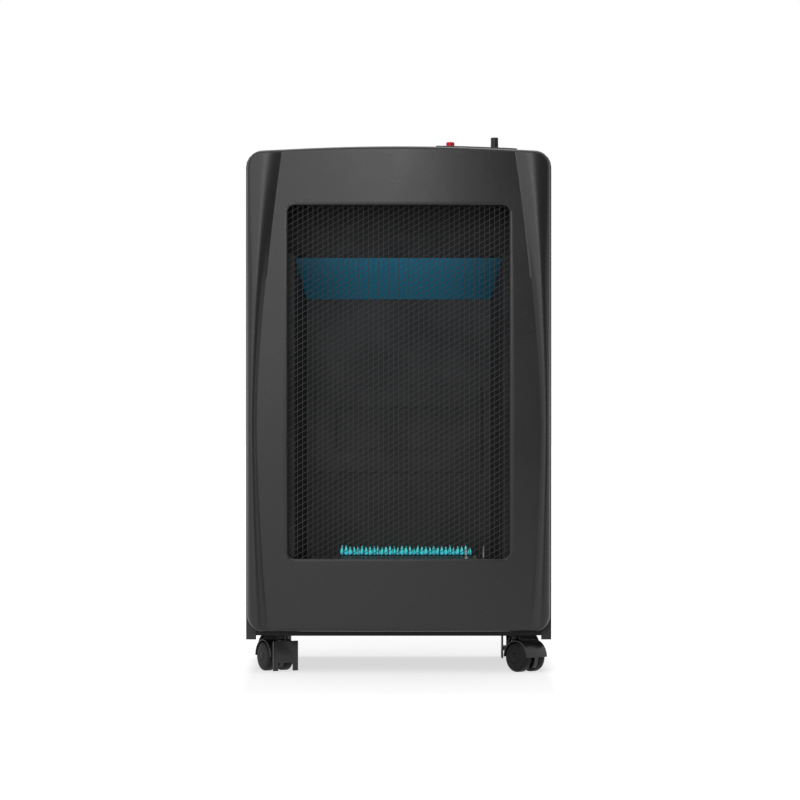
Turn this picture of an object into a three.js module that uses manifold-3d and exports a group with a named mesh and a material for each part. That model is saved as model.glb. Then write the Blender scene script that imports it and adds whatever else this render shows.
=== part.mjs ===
// A portable gas cabinet heater: a steel cabinet on four twin-wheel casters, with a blue-flame burner
// behind a wire guard, its valve and igniter under the top, and room behind for the gas bottle.
// Millimetres, +Z up. The origin is on the floor under the middle of the cabinet, and the front faces -Y.
import * as THREE from "three";
import { mergeVertices } from "three/addons/utils/BufferGeometryUtils.js";
import Module from "manifold-3d";

const wasm = await Module();
wasm.setup();

// ---- Driving dimensions: the cabinet ----
const CABINET_WIDTH = 420;
const CABINET_DEPTH = 400;
const CABINET_TOP = 722; // top of the crown over the floor
const CROWN_DROP = 5.6; // how much lower the top is where its corners begin
const CORNER_RADIUS = 20;
const SHEET = 1; // steel of the panels
const GAP = 0.3; // between pieces that touch
const PANEL_FLANGE = 14; // turned-in edges of the side panels
const PANEL_TOP_DROP = 32; // side panels end this far under the crown
const COVER_DEPTH = 80;
const COVER_CLEARANCE = 6; // cover's outside to the tray's back rim
const HOOK_INSET = 94.5; // cover hooks inside the cabinet's side

// ---- Fascia, window and guard ----
const FASCIA_INSET = 2; // the side panels stand out past the fascia
const FASCIA_RETURN = 30; // from the foremost line to the fascia's back edge
const FASCIA_WALL = 1.6;
const FASCIA_BOTTOM_RADIUS = 23;
const EDGE_RADIUS = 4.5;
const UPRIGHT_BOW = 7; // the face leans back by this at its top and bottom
const CROSS_BOW = 7; // and falls back by this from its middle to the creases
const PILLAR_RISE = 8.2;
const PILLAR_SLOPE = 0.33; // rise of a narrow pillar for each millimetre of its width
const CREASE_MARGIN = 13.3; // pillar width where it is narrowest
const CREASE_HEIGHT = 340; // height of that place
const CREASE_TOP_LEAN = 36; // how far the crease leans in at the top
const CREASE_FOOT_LEAN = 15.2; // and at the foot
const CREASE_POWER = 1.6;
const WINDOW_WIDTH = 306.8;
const WINDOW_FOOT = 155.5;
const WINDOW_TOP_DROP = 79.7;
const WINDOW_RADIUS = 10;
const WINDOW_BACK = 15.5; // back edge of the window's rim, behind the foremost line
const GUARD_THICKNESS = 1.4;
const GUARD_LAP = 4.6; // the guard's frame past the window's edge
const GUARD_COLUMNS = 9;
const GUARD_PITCH = 35; // between its slanted wires
const GUARD_SLOPE = 0.56;
const GUARD_WIRE = 2.2;

// ---- Burner chamber ----
const CHAMBER_SHEET = 1.2;
const CHAMBER_INSET = 10.9; // chamber's mouth inside the window's edge
const CHAMBER_TAPER = 15.2; // how far each side closes in towards the back
const CHAMBER_DEPTH = 54.5;
const CHAMBER_FLANGE = 9.5;
const SHELF_HEIGHT = 128;
const SIDE_TOP_DROP = 68; // chamber sides end this far under the window's top
const HOOD_TOP_DROP = 74;
const HOOD_FALL = 55;
const EMBOSS_DEPTH = 3;
const EMBOSS_INSET = 11.8; // pressing inside the back plate's visible edge
const EMBOSS_FOOT = 274;
const EMBOSS_HEIGHT = 119.5;
const RECESS_SIDE_INSET = 29.5; // recess inside the pressing
const RECESS_END_INSET = 30;
const SHIELD_RISE = 5.7; // heat shield over the window's top
const PARTITION_SETBACK = 82; // partition behind the foremost line

// ---- Burner ----
const BURNER_RADIUS = 12;
const BURNER_WALL = 1.2;
const BURNER_SETBACK = 48;
const BURNER_AXIS_HEIGHT = 147;
const BURNER_END_CLEARANCE = 3.3; // burner's ends to the chamber's narrow end
const VENTURI_RADIUS = 8;
const VENTURI_LENGTH = 26;
const INJECTOR_LENGTH = 14;
const PORT_COUNT = 15;
const PORT_PITCH = 15;
const PORT_WIDTH = 4;
const SADDLE_INSET = 24; // saddles inside the burner's ends
const PILOT_INSET = 19;
const PILOT_SPACING = 12;
const PILOT_SETBACK = 27;

// ---- Controls ----
const CONTROL_SETBACK = 58; // controls behind the foremost line
const PLATE_SIDE_MARGIN = 46.7; // control plate to the cabinet's right side
const PLATE_WIDTH = 112;
const PLATE_HALF_DEPTH = 26;
const PLATE_THICKNESS = 2.6;
const BUTTON_INSET = 20; // button from the plate's left end
const BUTTON_RADIUS = 5.75;
const BUTTON_HEIGHT = 6.6; // over the plate
const BUTTON_TRAVEL = 5;
const KNOB_INSET = 31; // knob from the plate's right end
const KNOB_DISC_RADIUS = 16.5;
const KNOB_GRIP_WIDTH = 9.5;
const KNOB_GRIP_LENGTH = 30;
const KNOB_GRIP_HEIGHT = 14.2;
const SPINDLE_RADIUS = 3;
const NECK_RADIUS = 8;
const HOLE_MARGIN = 1.5; // round a pipe or control that passes through a sheet
const BRACKET_DROP = 22; // bracket under the crown
const PIPE_RADIUS = 4;
const SUPPLY_MARGIN = 32; // pipes and leads inside the cabinet's right side
const THERMOCOUPLE_MARGIN = 25;
const PILOT_MARGIN = 20.5;
const SPARK_MARGIN = 16;

// ---- Tray and casters ----
const TRAY_SHEET = 1.5;
const TRAY_RIM = 24;
const SKIRT_CLEARANCE = 14; // skirt's end to the caster's stem
const SKIRT_DROP = 0.6;
const FASCIA_LIFT = 3; // fascia's foot over the tray's underside
const PANEL_LIFT = 0.6; // side panels' foot over the caster hoods
const NECK_LENGTH = 6.2; // from a caster's hood to the tray
const STEM_REACH = 34; // stem inside the tray's socket
const CASTER_X_MARGIN = 48; // stem inside the cabinet's side
const CASTER_Y_MARGIN = 50; // stem inside the cabinet's front and back
const WHEEL_RADIUS = 20.5;
const WHEEL_WIDTH = 12.5;
const CASTER_TRAIL = 18; // axle behind the stem
const STEM_RADIUS = 4;
const COLLAR_RADIUS = 5.85;
const HUB_RADIUS = 6.5;
const AXLE_RADIUS = 2.5;
const HOOD_WALL = 2;
const HOOD_CLEARANCE = 0.8; // hood over the wheels
const RUNNING = 0.6; // clearance of turning faces
const PEDAL_WIDTH = 38;
const PEDAL_THICKNESS = 2.5;
const PEDAL_PIN_RADIUS = 1.4;
const PEDAL_EAR_RADIUS = 2.6;
const PEDAL_PIN_SETBACK = 1.5;
const PEDAL_PIN_DROP = 8;
const PEDAL_LUG_HALF = 3.6;
const FRONT_LEFT_TRAIL = 119; // headings of the wheels from +X, in degrees
const FRONT_RIGHT_TRAIL = -47;
const REAR_LEFT_TRAIL = 180;
const REAR_RIGHT_TRAIL = 0;

// ---- Worked out from them ----
const HALF = CABINET_WIDTH / 2;
const FRONT = -CABINET_DEPTH / 2;
const REAR = CABINET_DEPTH / 2;
const FASCIA_HALF = HALF - FASCIA_INSET;
const FASCIA_BACK = FRONT + FASCIA_RETURN;
const CABINET_FACE = FASCIA_BACK + GAP; // front of what stands behind the fascia
const HOOD_RADIUS = WHEEL_RADIUS + HOOD_CLEARANCE + HOOD_WALL;
const HUB_TOP = WHEEL_RADIUS + HOOD_RADIUS;
const TRAY_BOTTOM = HUB_TOP + NECK_LENGTH;
const PANEL_BOTTOM = HUB_TOP + PANEL_LIFT;
const FASCIA_BOTTOM = TRAY_BOTTOM + FASCIA_LIFT;
const STEM_TOP = TRAY_BOTTOM + STEM_REACH;
const CASTER_X = HALF - CASTER_X_MARGIN;
const CASTER_Y = REAR - CASTER_Y_MARGIN;
const WHEEL_INNER = HUB_RADIUS + RUNNING; // inner face of each wheel, from the caster's middle
const HOOD_HALF = WHEEL_INNER + WHEEL_WIDTH;
const PEDAL_PIN_X = -(HUB_RADIUS + PEDAL_PIN_SETBACK);
const PEDAL_PIN_HEIGHT = HUB_TOP - PEDAL_PIN_DROP;
const SKIRT_HALF = CASTER_X - SKIRT_CLEARANCE;
const COVER_FRONT = REAR - COVER_DEPTH;
const CABINET_BACK = COVER_FRONT - GAP;
const INNER_HALF = HALF - SHEET - GAP; // what fits between the side panels
const PANEL_TOP = CABINET_TOP - PANEL_TOP_DROP;
const WINDOW_HALF = WINDOW_WIDTH / 2;
const WINDOW_TOP = CABINET_TOP - WINDOW_TOP_DROP;
const GUARD_FRONT = FRONT + WINDOW_BACK + GAP;
const GUARD_BACK = GUARD_FRONT + GUARD_THICKNESS;
const CHAMBER_FRONT = GUARD_BACK + GAP;
const CHAMBER_BACK = CHAMBER_FRONT + CHAMBER_DEPTH;
const SHELF_TOP = SHELF_HEIGHT + CHAMBER_SHEET;
const ON_SHELF = SHELF_TOP + GAP;
const PARTITION_FRONT = FRONT + PARTITION_SETBACK;
const SHIELD_BOTTOM = WINDOW_TOP + SHIELD_RISE;
const CHAMBER_HALF_FRONT = WINDOW_HALF - CHAMBER_INSET;
const CHAMBER_HALF_BACK = CHAMBER_HALF_FRONT - CHAMBER_TAPER;
const EMBOSS_HALF = CHAMBER_HALF_BACK - EMBOSS_INSET;
const BURNER_Y = FRONT + BURNER_SETBACK;
const BURNER_HALF = CHAMBER_HALF_BACK - BURNER_END_CLEARANCE;
const VENTURI_END = BURNER_HALF + VENTURI_LENGTH;
const INJECTOR_END = VENTURI_END + INJECTOR_LENGTH;
const PILOT_X = BURNER_HALF - PILOT_INSET;
const PILOT_Y = FRONT + PILOT_SETBACK;
const SUPPLY_X = HALF - SUPPLY_MARGIN;
const THERMOCOUPLE_LEAD_X = HALF - THERMOCOUPLE_MARGIN;
const PILOT_PIPE_X = HALF - PILOT_MARGIN;
const SPARK_LEAD_X = HALF - SPARK_MARGIN;
const PLATE_RIGHT = HALF - PLATE_SIDE_MARGIN;
const PLATE_LEFT = PLATE_RIGHT - PLATE_WIDTH;
const KNOB_X = PLATE_RIGHT - KNOB_INSET;
const BUTTON_X = PLATE_LEFT + BUTTON_INSET;
const CONTROL_Y = FRONT + CONTROL_SETBACK;
const BRACKET_BOTTOM = CABINET_TOP - BRACKET_DROP;
const BRACKET_TOP = BRACKET_BOTTOM + CHAMBER_SHEET;
const VALVE_HALF = 13;
const VALVE_BOTTOM = BRACKET_BOTTOM - 44;
const VALVE_TOP = BRACKET_BOTTOM - 12;
const VALVE_FRONT = CONTROL_Y - 14;
const VALVE_BACK = CONTROL_Y + 14;
const VALVE_OUTLET = KNOB_X + VALVE_HALF + GAP;
const PLATE_TOP_AT_KNOB = crown(KNOB_X) + PLATE_THICKNESS;
const PLATE_TOP_AT_BUTTON = crown(BUTTON_X) + PLATE_THICKNESS;
const DISC_TOP = PLATE_TOP_AT_KNOB - 0.6;
const DISC_BOTTOM = DISC_TOP - 5;
const SPINDLE_TOP = DISC_BOTTOM + 12;
const IGNITER_FOOT = BRACKET_BOTTOM - 32;
const IGNITER_TOP = crown(BUTTON_X) - GAP;

const STEEL_DARK = finish(0x3f4042, 0.45, 0.35);
const STEEL_BLACK = finish(0x1c1d1e, 0.6, 0.3);
const STEEL_GREY = finish(0x6f7173, 0.45, 0.8);
const STEEL_BLUE = finish(0x1d6f96, 0.35, 0.6);
const STEEL_BRIGHT = finish(0xb9bcbf, 0.3, 1);
const BRASS = finish(0xb08d4a, 0.35, 1);
const COPPER = finish(0xb4683e, 0.35, 1);
const PLASTIC_BLACK = finish(0x161617, 0.5, 0);
const PLASTIC_RED = finish(0xc62f36, 0.35, 0);
const CERAMIC = finish(0xe8e4da, 0.4, 0);
const SILICONE = finish(0x8a2f25, 0.7, 0);

const heater = new THREE.Group();

/** A surface for one kind of piece. */
function finish(color, roughness, metalness) {
  return new THREE.MeshStandardMaterial({ color, roughness, metalness });
}

// ---- Solids and how they are joined and cut ----

/** A closed geometry as a solid whose faces point out. */
function solidOf(geometry) {
  const bare = geometry.index ? geometry.toNonIndexed() : geometry.clone();
  bare.deleteAttribute("normal");
  bare.deleteAttribute("uv");
  const merged = mergeVertices(bare, 1e-4);
  const vertProperties = new Float32Array(merged.attributes.position.array);
  const triVerts = new Uint32Array(merged.index.array);
  const made = new wasm.Manifold(new wasm.Mesh({ numProp: 3, vertProperties, triVerts }));
  if (made.volume() > 0) return made;
  for (let i = 0; i < triVerts.length; i += 3) {
    [triVerts[i + 1], triVerts[i + 2]] = [triVerts[i + 2], triVerts[i + 1]];
  }
  return new wasm.Manifold(new wasm.Mesh({ numProp: 3, vertProperties, triVerts }));
}

/** All the solids as one. */
function join(first, ...others) {
  return others.reduce((whole, next) => whole.add(next), first);
}

/** The first solid without the others. */
function cut(first, ...others) {
  return others.reduce((rest, next) => rest.subtract(next), first);
}

/** Names a solid as one piece of the heater. */
function piece(name, solid, material, parent = heater) {
  const { numProp, vertProperties, triVerts } = solid.getMesh();
  const positions = new Float32Array((vertProperties.length / numProp) * 3);
  for (let i = 0; i < positions.length / 3; i++) {
    positions.set(vertProperties.subarray(i * numProp, i * numProp + 3), i * 3);
  }
  const indexed = new THREE.BufferGeometry();
  indexed.setAttribute("position", new THREE.BufferAttribute(positions, 3));
  indexed.setIndex(new THREE.BufferAttribute(triVerts, 1));
  const geometry = indexed.toNonIndexed();
  geometry.computeVertexNormals();
  const mesh = new THREE.Mesh(geometry, material);
  mesh.name = name;
  parent.add(mesh);
  return mesh;
}

/** A box between two corners. */
function block([x0, y0, z0], [x1, y1, z1]) {
  const box = new THREE.BoxGeometry(x1 - x0, y1 - y0, z1 - z0);
  return solidOf(box.translate((x0 + x1) / 2, (y0 + y1) / 2, (z0 + z1) / 2));
}

/** A flat outline from a list of corners. */
function outline(corners) {
  return new THREE.Shape(corners.map(([x, y]) => new THREE.Vector2(x, y)));
}

/** An outline of X and Y, raised from z0 to z1. */
function raised(shape, z0, z1, curveSegments = 8) {
  const geometry = new THREE.ExtrudeGeometry(shape, { depth: z1 - z0, bevelEnabled: false, curveSegments });
  return solidOf(geometry.translate(0, 0, z0));
}

/** An outline of X and Z, drawn out from y0 back to y1. */
function drawnBack(shape, y0, y1, curveSegments = 8) {
  const geometry = new THREE.ExtrudeGeometry(shape, { depth: y1 - y0, bevelEnabled: false, curveSegments });
  return solidOf(geometry.rotateX(Math.PI / 2).translate(0, y1, 0));
}

/** An outline of Y and Z, drawn out from x0 to x1. */
function drawnAcross(shape, x0, x1, curveSegments = 8) {
  const geometry = new THREE.ExtrudeGeometry(shape, { depth: x1 - x0, bevelEnabled: false, curveSegments });
  const turn = new THREE.Matrix4().makeBasis(
    new THREE.Vector3(0, 1, 0),
    new THREE.Vector3(0, 0, 1),
    new THREE.Vector3(1, 0, 0),
  );
  return solidOf(geometry.applyMatrix4(turn).translate(x0, 0, 0));
}

/** A turned solid about X, Y or Z through a point; its profile lists radius and place along the axis. */
function turned(profile, axis, [x, y, z], segments = 20) {
  const points = profile.map(([radius, along]) => new THREE.Vector2(radius, along));
  const geometry = new THREE.LatheGeometry(points, segments);
  if (axis !== "y") geometry.rotateX(Math.PI / 2);
  if (axis === "x") geometry.rotateY(Math.PI / 2);
  return solidOf(geometry.translate(x, y, z));
}

/** A plain round bar or hole from one place to another along an axis. */
function bar(radius, axis, at, from, to, segments = 20) {
  const profile = [
    [0, from],
    [radius, from],
    [radius, to],
    [0, to],
  ];
  return turned(profile, axis, at, segments);
}

/** A hexagon nut or body across X or Z. */
function hexagon(acrossFlats, axis, at, from, to) {
  return bar(acrossFlats / Math.sqrt(3), axis, at, from, to, 6);
}

/** A rectangle with round corners, as an outline or as a hole's path. */
function roundedRectangle(x0, y0, x1, y1, radius) {
  const shape = new THREE.Shape();
  shape.moveTo(x0 + radius, y0);
  shape.lineTo(x1 - radius, y0);
  shape.absarc(x1 - radius, y0 + radius, radius, -Math.PI / 2, 0);
  shape.lineTo(x1, y1 - radius);
  shape.absarc(x1 - radius, y1 - radius, radius, 0, Math.PI / 2);
  shape.lineTo(x0 + radius, y1);
  shape.absarc(x0 + radius, y1 - radius, radius, Math.PI / 2, Math.PI);
  shape.lineTo(x0, y0 + radius);
  shape.absarc(x0 + radius, y0 + radius, radius, Math.PI, Math.PI * 1.5);
  return shape;
}

/** A pipe's route: straight runs between corners, with each corner rounded. */
class Route extends THREE.Curve {
  constructor(corners, bend, bendSteps = 4) {
    super();
    const stops = corners.map((corner) => new THREE.Vector3(...corner));
    this.rings = [stops[0]];
    for (let i = 1; i < stops.length - 1; i++) {
      const into = stops[i - 1].clone().sub(stops[i]).normalize().multiplyScalar(bend);
      const away = stops[i + 1].clone().sub(stops[i]).normalize().multiplyScalar(bend);
      const start = stops[i].clone().add(into);
      const end = stops[i].clone().add(away);
      const turn = new THREE.QuadraticBezierCurve3(start, stops[i], end);
      this.rings.push(...turn.getPoints(bendSteps));
    }
    this.rings.push(stops[stops.length - 1]);
  }

  getPoint(t) {
    const place = t * (this.rings.length - 1);
    const before = Math.min(Math.floor(place), this.rings.length - 2);
    return this.rings[before].clone().lerp(this.rings[before + 1], place - before);
  }

  getPointAt(t) {
    return this.getPoint(t);
  }

  getTangentAt(t) {
    const last = this.rings.length - 1;
    const here = Math.round(t * last);
    const ahead = this.rings[Math.min(here + 1, last)];
    const behind = this.rings[Math.max(here - 1, 0)];
    return ahead.clone().sub(behind).normalize();
  }
}

/** A round pipe or lead along a route. */
function pipe(corners, radius, bend, sides = 8) {
  const route = new Route(corners, bend);
  const section = new THREE.Shape();
  section.absarc(0, 0, radius, 0, Math.PI * 2);
  const geometry = new THREE.ExtrudeGeometry(section, {
    steps: route.rings.length - 1,
    extrudePath: route,
    bevelEnabled: false,
    curveSegments: sides / 2,
  });
  return solidOf(geometry);
}

// ---- Shape of the top and of the fascia's face ----

/** Height of the crowned top at a place across. */
function crown(x) {
  return CABINET_TOP - CROWN_DROP * (x / (FASCIA_HALF - CORNER_RADIUS)) ** 2;
}

/** Distance of the crease from the middle, at a height. */
function crease(z) {
  const widest = FASCIA_HALF - CREASE_MARGIN;
  const [lean, reach] =
    z > CREASE_HEIGHT
      ? [CREASE_TOP_LEAN, CABINET_TOP - CREASE_HEIGHT]
      : [CREASE_FOOT_LEAN, CREASE_HEIGHT - FASCIA_BOTTOM];
  return widest - lean * Math.min(1, Math.abs(z - CREASE_HEIGHT) / reach) ** CREASE_POWER;
}

/** How far inside the fascia's outline a point of its face lies. */
function insideEdge(x, z) {
  const fromSide = FASCIA_HALF - Math.abs(x);
  const fromFoot = z - FASCIA_BOTTOM;
  const fromTop = crown(x) - z;
  const radius = fromTop < fromFoot ? CORNER_RADIUS : FASCIA_BOTTOM_RADIUS;
  const fromEnd = Math.min(fromFoot, fromTop);
  if (fromSide < radius && fromEnd < radius) {
    return radius - Math.hypot(radius - fromSide, radius - fromEnd);
  }
  return Math.min(fromSide, fromEnd);
}

/** Place of the fascia's face in Y: bowed both ways, a crease at each side, a round pillar past it. */
function faceY(x, z) {
  const middle = (CABINET_TOP + FASCIA_BOTTOM) / 2;
  const upright = UPRIGHT_BOW * ((z - middle) / (CABINET_TOP - middle)) ** 2;
  const bend = crease(z);
  const across = Math.abs(x) / bend;
  const width = FASCIA_HALF - bend;
  const past = Math.min(1, Math.max(0, (Math.abs(x) - bend) / width));
  const rise = Math.min(PILLAR_RISE, PILLAR_SLOPE * width);
  const relief = across < 1 ? CROSS_BOW * across ** 2 : CROSS_BOW - rise * Math.sin(Math.PI * past ** 0.8);
  const inside = Math.min(EDGE_RADIUS, Math.max(0, insideEdge(x, z)));
  const rounding = EDGE_RADIUS - Math.sqrt(EDGE_RADIUS ** 2 - (EDGE_RADIUS - inside) ** 2);
  return FRONT + upright + relief + rounding;
}

/** Heights of the fascia's rows of points, with the half width of each: round corners and straight sides. */
function fasciaRows() {
  const cornerSteps = 3;
  const straightSteps = 9;
  const rows = [];
  for (let i = 0; i <= cornerSteps; i++) {
    const angle = ((i / cornerSteps) * Math.PI) / 2;
    const radius = FASCIA_BOTTOM_RADIUS;
    const z = FASCIA_BOTTOM + radius * (1 - Math.cos(angle));
    rows.push([z, FASCIA_HALF - radius * (1 - Math.sin(angle))]);
  }
  const low = FASCIA_BOTTOM + FASCIA_BOTTOM_RADIUS;
  const high = CABINET_TOP - CORNER_RADIUS;
  for (let i = 1; i < straightSteps; i++) rows.push([low + ((high - low) * i) / straightSteps, FASCIA_HALF]);
  for (let i = cornerSteps; i >= 0; i--) {
    const angle = ((i / cornerSteps) * Math.PI) / 2;
    const radius = CORNER_RADIUS;
    rows.push([CABINET_TOP - radius * (1 - Math.cos(angle)), FASCIA_HALF - radius * (1 - Math.sin(angle))]);
  }
  return rows;
}

/** Places across of one row's points, from the left edge to the right edge. */
function fasciaColumns(z, half) {
  const panelSteps = 4;
  const pillarSteps = [0.3, 0.6];
  const edgeSteps = [EDGE_RADIUS * 0.4, 0];
  const bend = Math.min(crease(z), half - 3 * EDGE_RADIUS * 0.5);
  const right = [];
  for (let i = 1; i <= panelSteps; i++) right.push((bend * i) / panelSteps);
  for (const share of pillarSteps) right.push(bend + (half - edgeSteps[0] - bend) * share);
  for (const inset of edgeSteps) right.push(half - inset);
  return [...right.map((x) => -x).reverse(), 0, ...right];
}

/** The fascia's outside as a full solid back to a plane, with its walls moved in by an inset. */
function fasciaBlank(inset, back) {
  const rows = fasciaRows();
  const middle = (CABINET_TOP + FASCIA_BOTTOM) / 2;
  const sideScale = (FASCIA_HALF - inset) / FASCIA_HALF;
  const upScale = (CABINET_TOP - middle - inset) / (CABINET_TOP - middle);
  const face = rows.map(([z, half]) =>
    fasciaColumns(z, half).map((x) => {
      const share = (crown(x) - FASCIA_BOTTOM) / (CABINET_TOP - FASCIA_BOTTOM);
      const height = FASCIA_BOTTOM + (z - FASCIA_BOTTOM) * share;
      const y = faceY(x, height) + inset;
      return [x * sideScale, y, middle + (height - middle) * upScale];
    }),
  );
  const rear = face.map((row) => row.map(([x, , z]) => [x, back, z]));
  const positions = [];
  const facet = (a, b, c) => positions.push(...a, ...b, ...c);
  const panel = (a, b, c, d) => {
    facet(a, b, c);
    facet(a, c, d);
  };
  const lastRow = face.length - 1;
  const lastColumn = face[0].length - 1;
  for (let i = 0; i < lastRow; i++) {
    for (let j = 0; j < lastColumn; j++) {
      panel(face[i][j], face[i][j + 1], face[i + 1][j + 1], face[i + 1][j]);
      panel(rear[i][j], rear[i + 1][j], rear[i + 1][j + 1], rear[i][j + 1]);
    }
    panel(face[i][0], face[i + 1][0], rear[i + 1][0], rear[i][0]);
    panel(face[i][lastColumn], rear[i][lastColumn], rear[i + 1][lastColumn], face[i + 1][lastColumn]);
  }
  for (let j = 0; j < lastColumn; j++) {
    panel(face[0][j], rear[0][j], rear[0][j + 1], face[0][j + 1]);
    panel(face[lastRow][j], face[lastRow][j + 1], rear[lastRow][j + 1], rear[lastRow][j]);
  }
  const geometry = new THREE.BufferGeometry();
  geometry.setAttribute("position", new THREE.Float32BufferAttribute(positions, 3));
  return solidOf(geometry);
}

/** The window as an outline grown by a margin. */
function windowOutline(margin) {
  return roundedRectangle(
    -WINDOW_HALF - margin,
    WINDOW_FOOT - margin,
    WINDOW_HALF + margin,
    WINDOW_TOP + margin,
    WINDOW_RADIUS + margin,
  );
}

/** The pressed front: two pillars and a bowed panel in one shell, with a rim turned in round the window. */
function frontFascia() {
  const outside = fasciaBlank(0, FASCIA_BACK);
  const inside = fasciaBlank(FASCIA_WALL, FASCIA_BACK + SHEET);
  const reach = FRONT - SHEET;
  const rimBack = FRONT + WINDOW_BACK;
  const rim = drawnBack(windowOutline(FASCIA_WALL), reach, rimBack, 5);
  const opening = drawnBack(windowOutline(0), reach, FASCIA_BACK + SHEET, 5);
  const shell = cut(outside, inside);
  return cut(join(shell, rim.intersect(outside)), opening);
}

/** The guard: a frame with upright wires and wires that rise to the right. */
function guardMesh() {
  const half = WINDOW_HALF + GUARD_LAP;
  const foot = WINDOW_FOOT - GUARD_LAP;
  const top = WINDOW_TOP + GUARD_LAP;
  const shape = roundedRectangle(-half, foot, half, top, WINDOW_RADIUS);
  const plate = drawnBack(shape, GUARD_FRONT, GUARD_BACK, 3);
  const pitch = (2 * WINDOW_HALF + GUARD_WIRE) / GUARD_COLUMNS;
  const reach = GUARD_SLOPE * 2 * WINDOW_HALF;
  const rows = Math.ceil((WINDOW_TOP - WINDOW_FOOT + reach) / GUARD_PITCH);
  const gaps = [];
  for (let i = 0; i < GUARD_COLUMNS; i++) {
    const x0 = -WINDOW_HALF + i * pitch;
    const x1 = x0 + pitch - GUARD_WIRE;
    for (let j = 0; j < rows; j++) {
      const z0 = WINDOW_FOOT - reach + j * GUARD_PITCH + GUARD_SLOPE * (x0 + WINDOW_HALF);
      const z1 = z0 + GUARD_SLOPE * (x1 - x0);
      const rise = GUARD_PITCH - GUARD_WIRE / Math.cos(Math.atan(GUARD_SLOPE));
      const corners = clippedGap(x0, x1, z0, z1, rise);
      if (corners.length > 2) {
        gaps.push(drawnBack(outline(corners), GUARD_FRONT - SHEET, GUARD_BACK + SHEET));
      }
    }
  }
  return cut(plate, wasm.Manifold.union(gaps));
}

/** Corners of one slanted gap, cut off at the window's foot and top; none where too little is left. */
function clippedGap(x0, x1, z0, z1, rise) {
  const least = GUARD_WIRE * 2;
  const foot = WINDOW_FOOT;
  const top = WINDOW_TOP;
  let corners = [
    [x0, z0],
    [x1, z1],
    [x1, z1 + rise],
    [x0, z0 + rise],
  ];
  corners = clipped(corners, (z) => z - foot);
  corners = clipped(corners, (z) => top - z);
  const heights = corners.map(([, z]) => z);
  const tall = Math.max(...heights) - Math.min(...heights);
  return corners.length > 2 && tall > least ? corners : [];
}

/** The part of a convex outline where a function of its height isn't negative. */
function clipped(corners, allowed) {
  const kept = [];
  corners.forEach((here, i) => {
    const next = corners[(i + 1) % corners.length];
    const a = allowed(here[1]);
    const b = allowed(next[1]);
    if (a >= 0) kept.push(here);
    if ((a > 0 && b < 0) || (a < 0 && b > 0)) {
      const share = a / (a - b);
      kept.push([here[0] + (next[0] - here[0]) * share, here[1] + (next[1] - here[1]) * share]);
    }
  });
  return kept;
}

// ---- Cabinet ----

/** An outline of the cabinet's top end, crowned and with round corners, open to a foot height. */
function crownedOutline(half, drop, radius, foot) {
  const straight = half - radius;
  const crownSteps = 10;
  const cornerSteps = 5;
  const corners = [[half, foot]];
  const height = (x) => crown(x) - drop;
  for (let i = 0; i <= cornerSteps; i++) {
    const angle = ((i / cornerSteps) * Math.PI) / 2;
    const base = height(straight) - radius;
    corners.push([straight + radius * Math.cos(angle), base + radius * Math.sin(angle)]);
  }
  for (let i = 1; i < crownSteps; i++) {
    const x = straight - (2 * straight * i) / crownSteps;
    corners.push([x, height(x)]);
  }
  const left = corners.slice(0, cornerSteps + 2).map(([x, z]) => [-x, z]);
  return outline([...corners, ...left.reverse()]);
}

/** One side panel: a wall with its front and back edges turned in, and a row of vents high up. */
function sidePanel(side) {
  const top = PANEL_TOP - GAP;
  const wall = block([INNER_HALF + GAP, CABINET_FACE, PANEL_BOTTOM], [HALF, CABINET_BACK, top]);
  const flangeFrom = HALF - PANEL_FLANGE;
  const front = block([flangeFrom, CABINET_FACE, PANEL_BOTTOM], [HALF, CABINET_FACE + SHEET, top]);
  const backFoot = TRAY_BOTTOM + TRAY_RIM + SHEET;
  const back = block([flangeFrom, CABINET_BACK - SHEET, backFoot], [HALF, CABINET_BACK, top]);
  const panel = cut(join(wall, front, back), ...sideVents());
  return side > 0 ? panel : panel.mirror([1, 0, 0]);
}

/** Slots that let air into the side of the cabinet. */
function sideVents() {
  const count = 6;
  const pitch = 14;
  const length = 60;
  const width = 4;
  const top = PANEL_TOP - 36;
  const middle = (CABINET_FACE + CABINET_BACK) / 2;
  const slots = [];
  for (let i = 0; i < count; i++) {
    const z = top - i * pitch;
    const low = [HALF - 2 * SHEET, middle - length / 2, z - width];
    slots.push(block(low, [HALF + SHEET, middle + length / 2, z]));
  }
  return slots;
}

/** The top: a crowned sheet that turns down at both sides, with holes for the knob and the button. */
function topPanel() {
  const foot = PANEL_TOP;
  const radius = CORNER_RADIUS + FASCIA_INSET;
  const outside = drawnBack(crownedOutline(HALF, 0, radius, foot), CABINET_FACE, CABINET_BACK);
  const inside = drawnBack(
    crownedOutline(HALF - SHEET, SHEET, radius - SHEET, foot - SHEET),
    CABINET_FACE - SHEET,
    CABINET_BACK + SHEET,
  );
  const low = CABINET_TOP - 3 * CROWN_DROP;
  const high = CABINET_TOP + SHEET;
  const knobHole = bar(KNOB_DISC_RADIUS + HOLE_MARGIN, "z", [KNOB_X, CONTROL_Y, 0], low, high, 28);
  const buttonHole = bar(NECK_RADIUS + HOLE_MARGIN, "z", [BUTTON_X, CONTROL_Y, 0], low, high, 20);
  return cut(outside, inside, knobHole, buttonHole);
}

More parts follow.
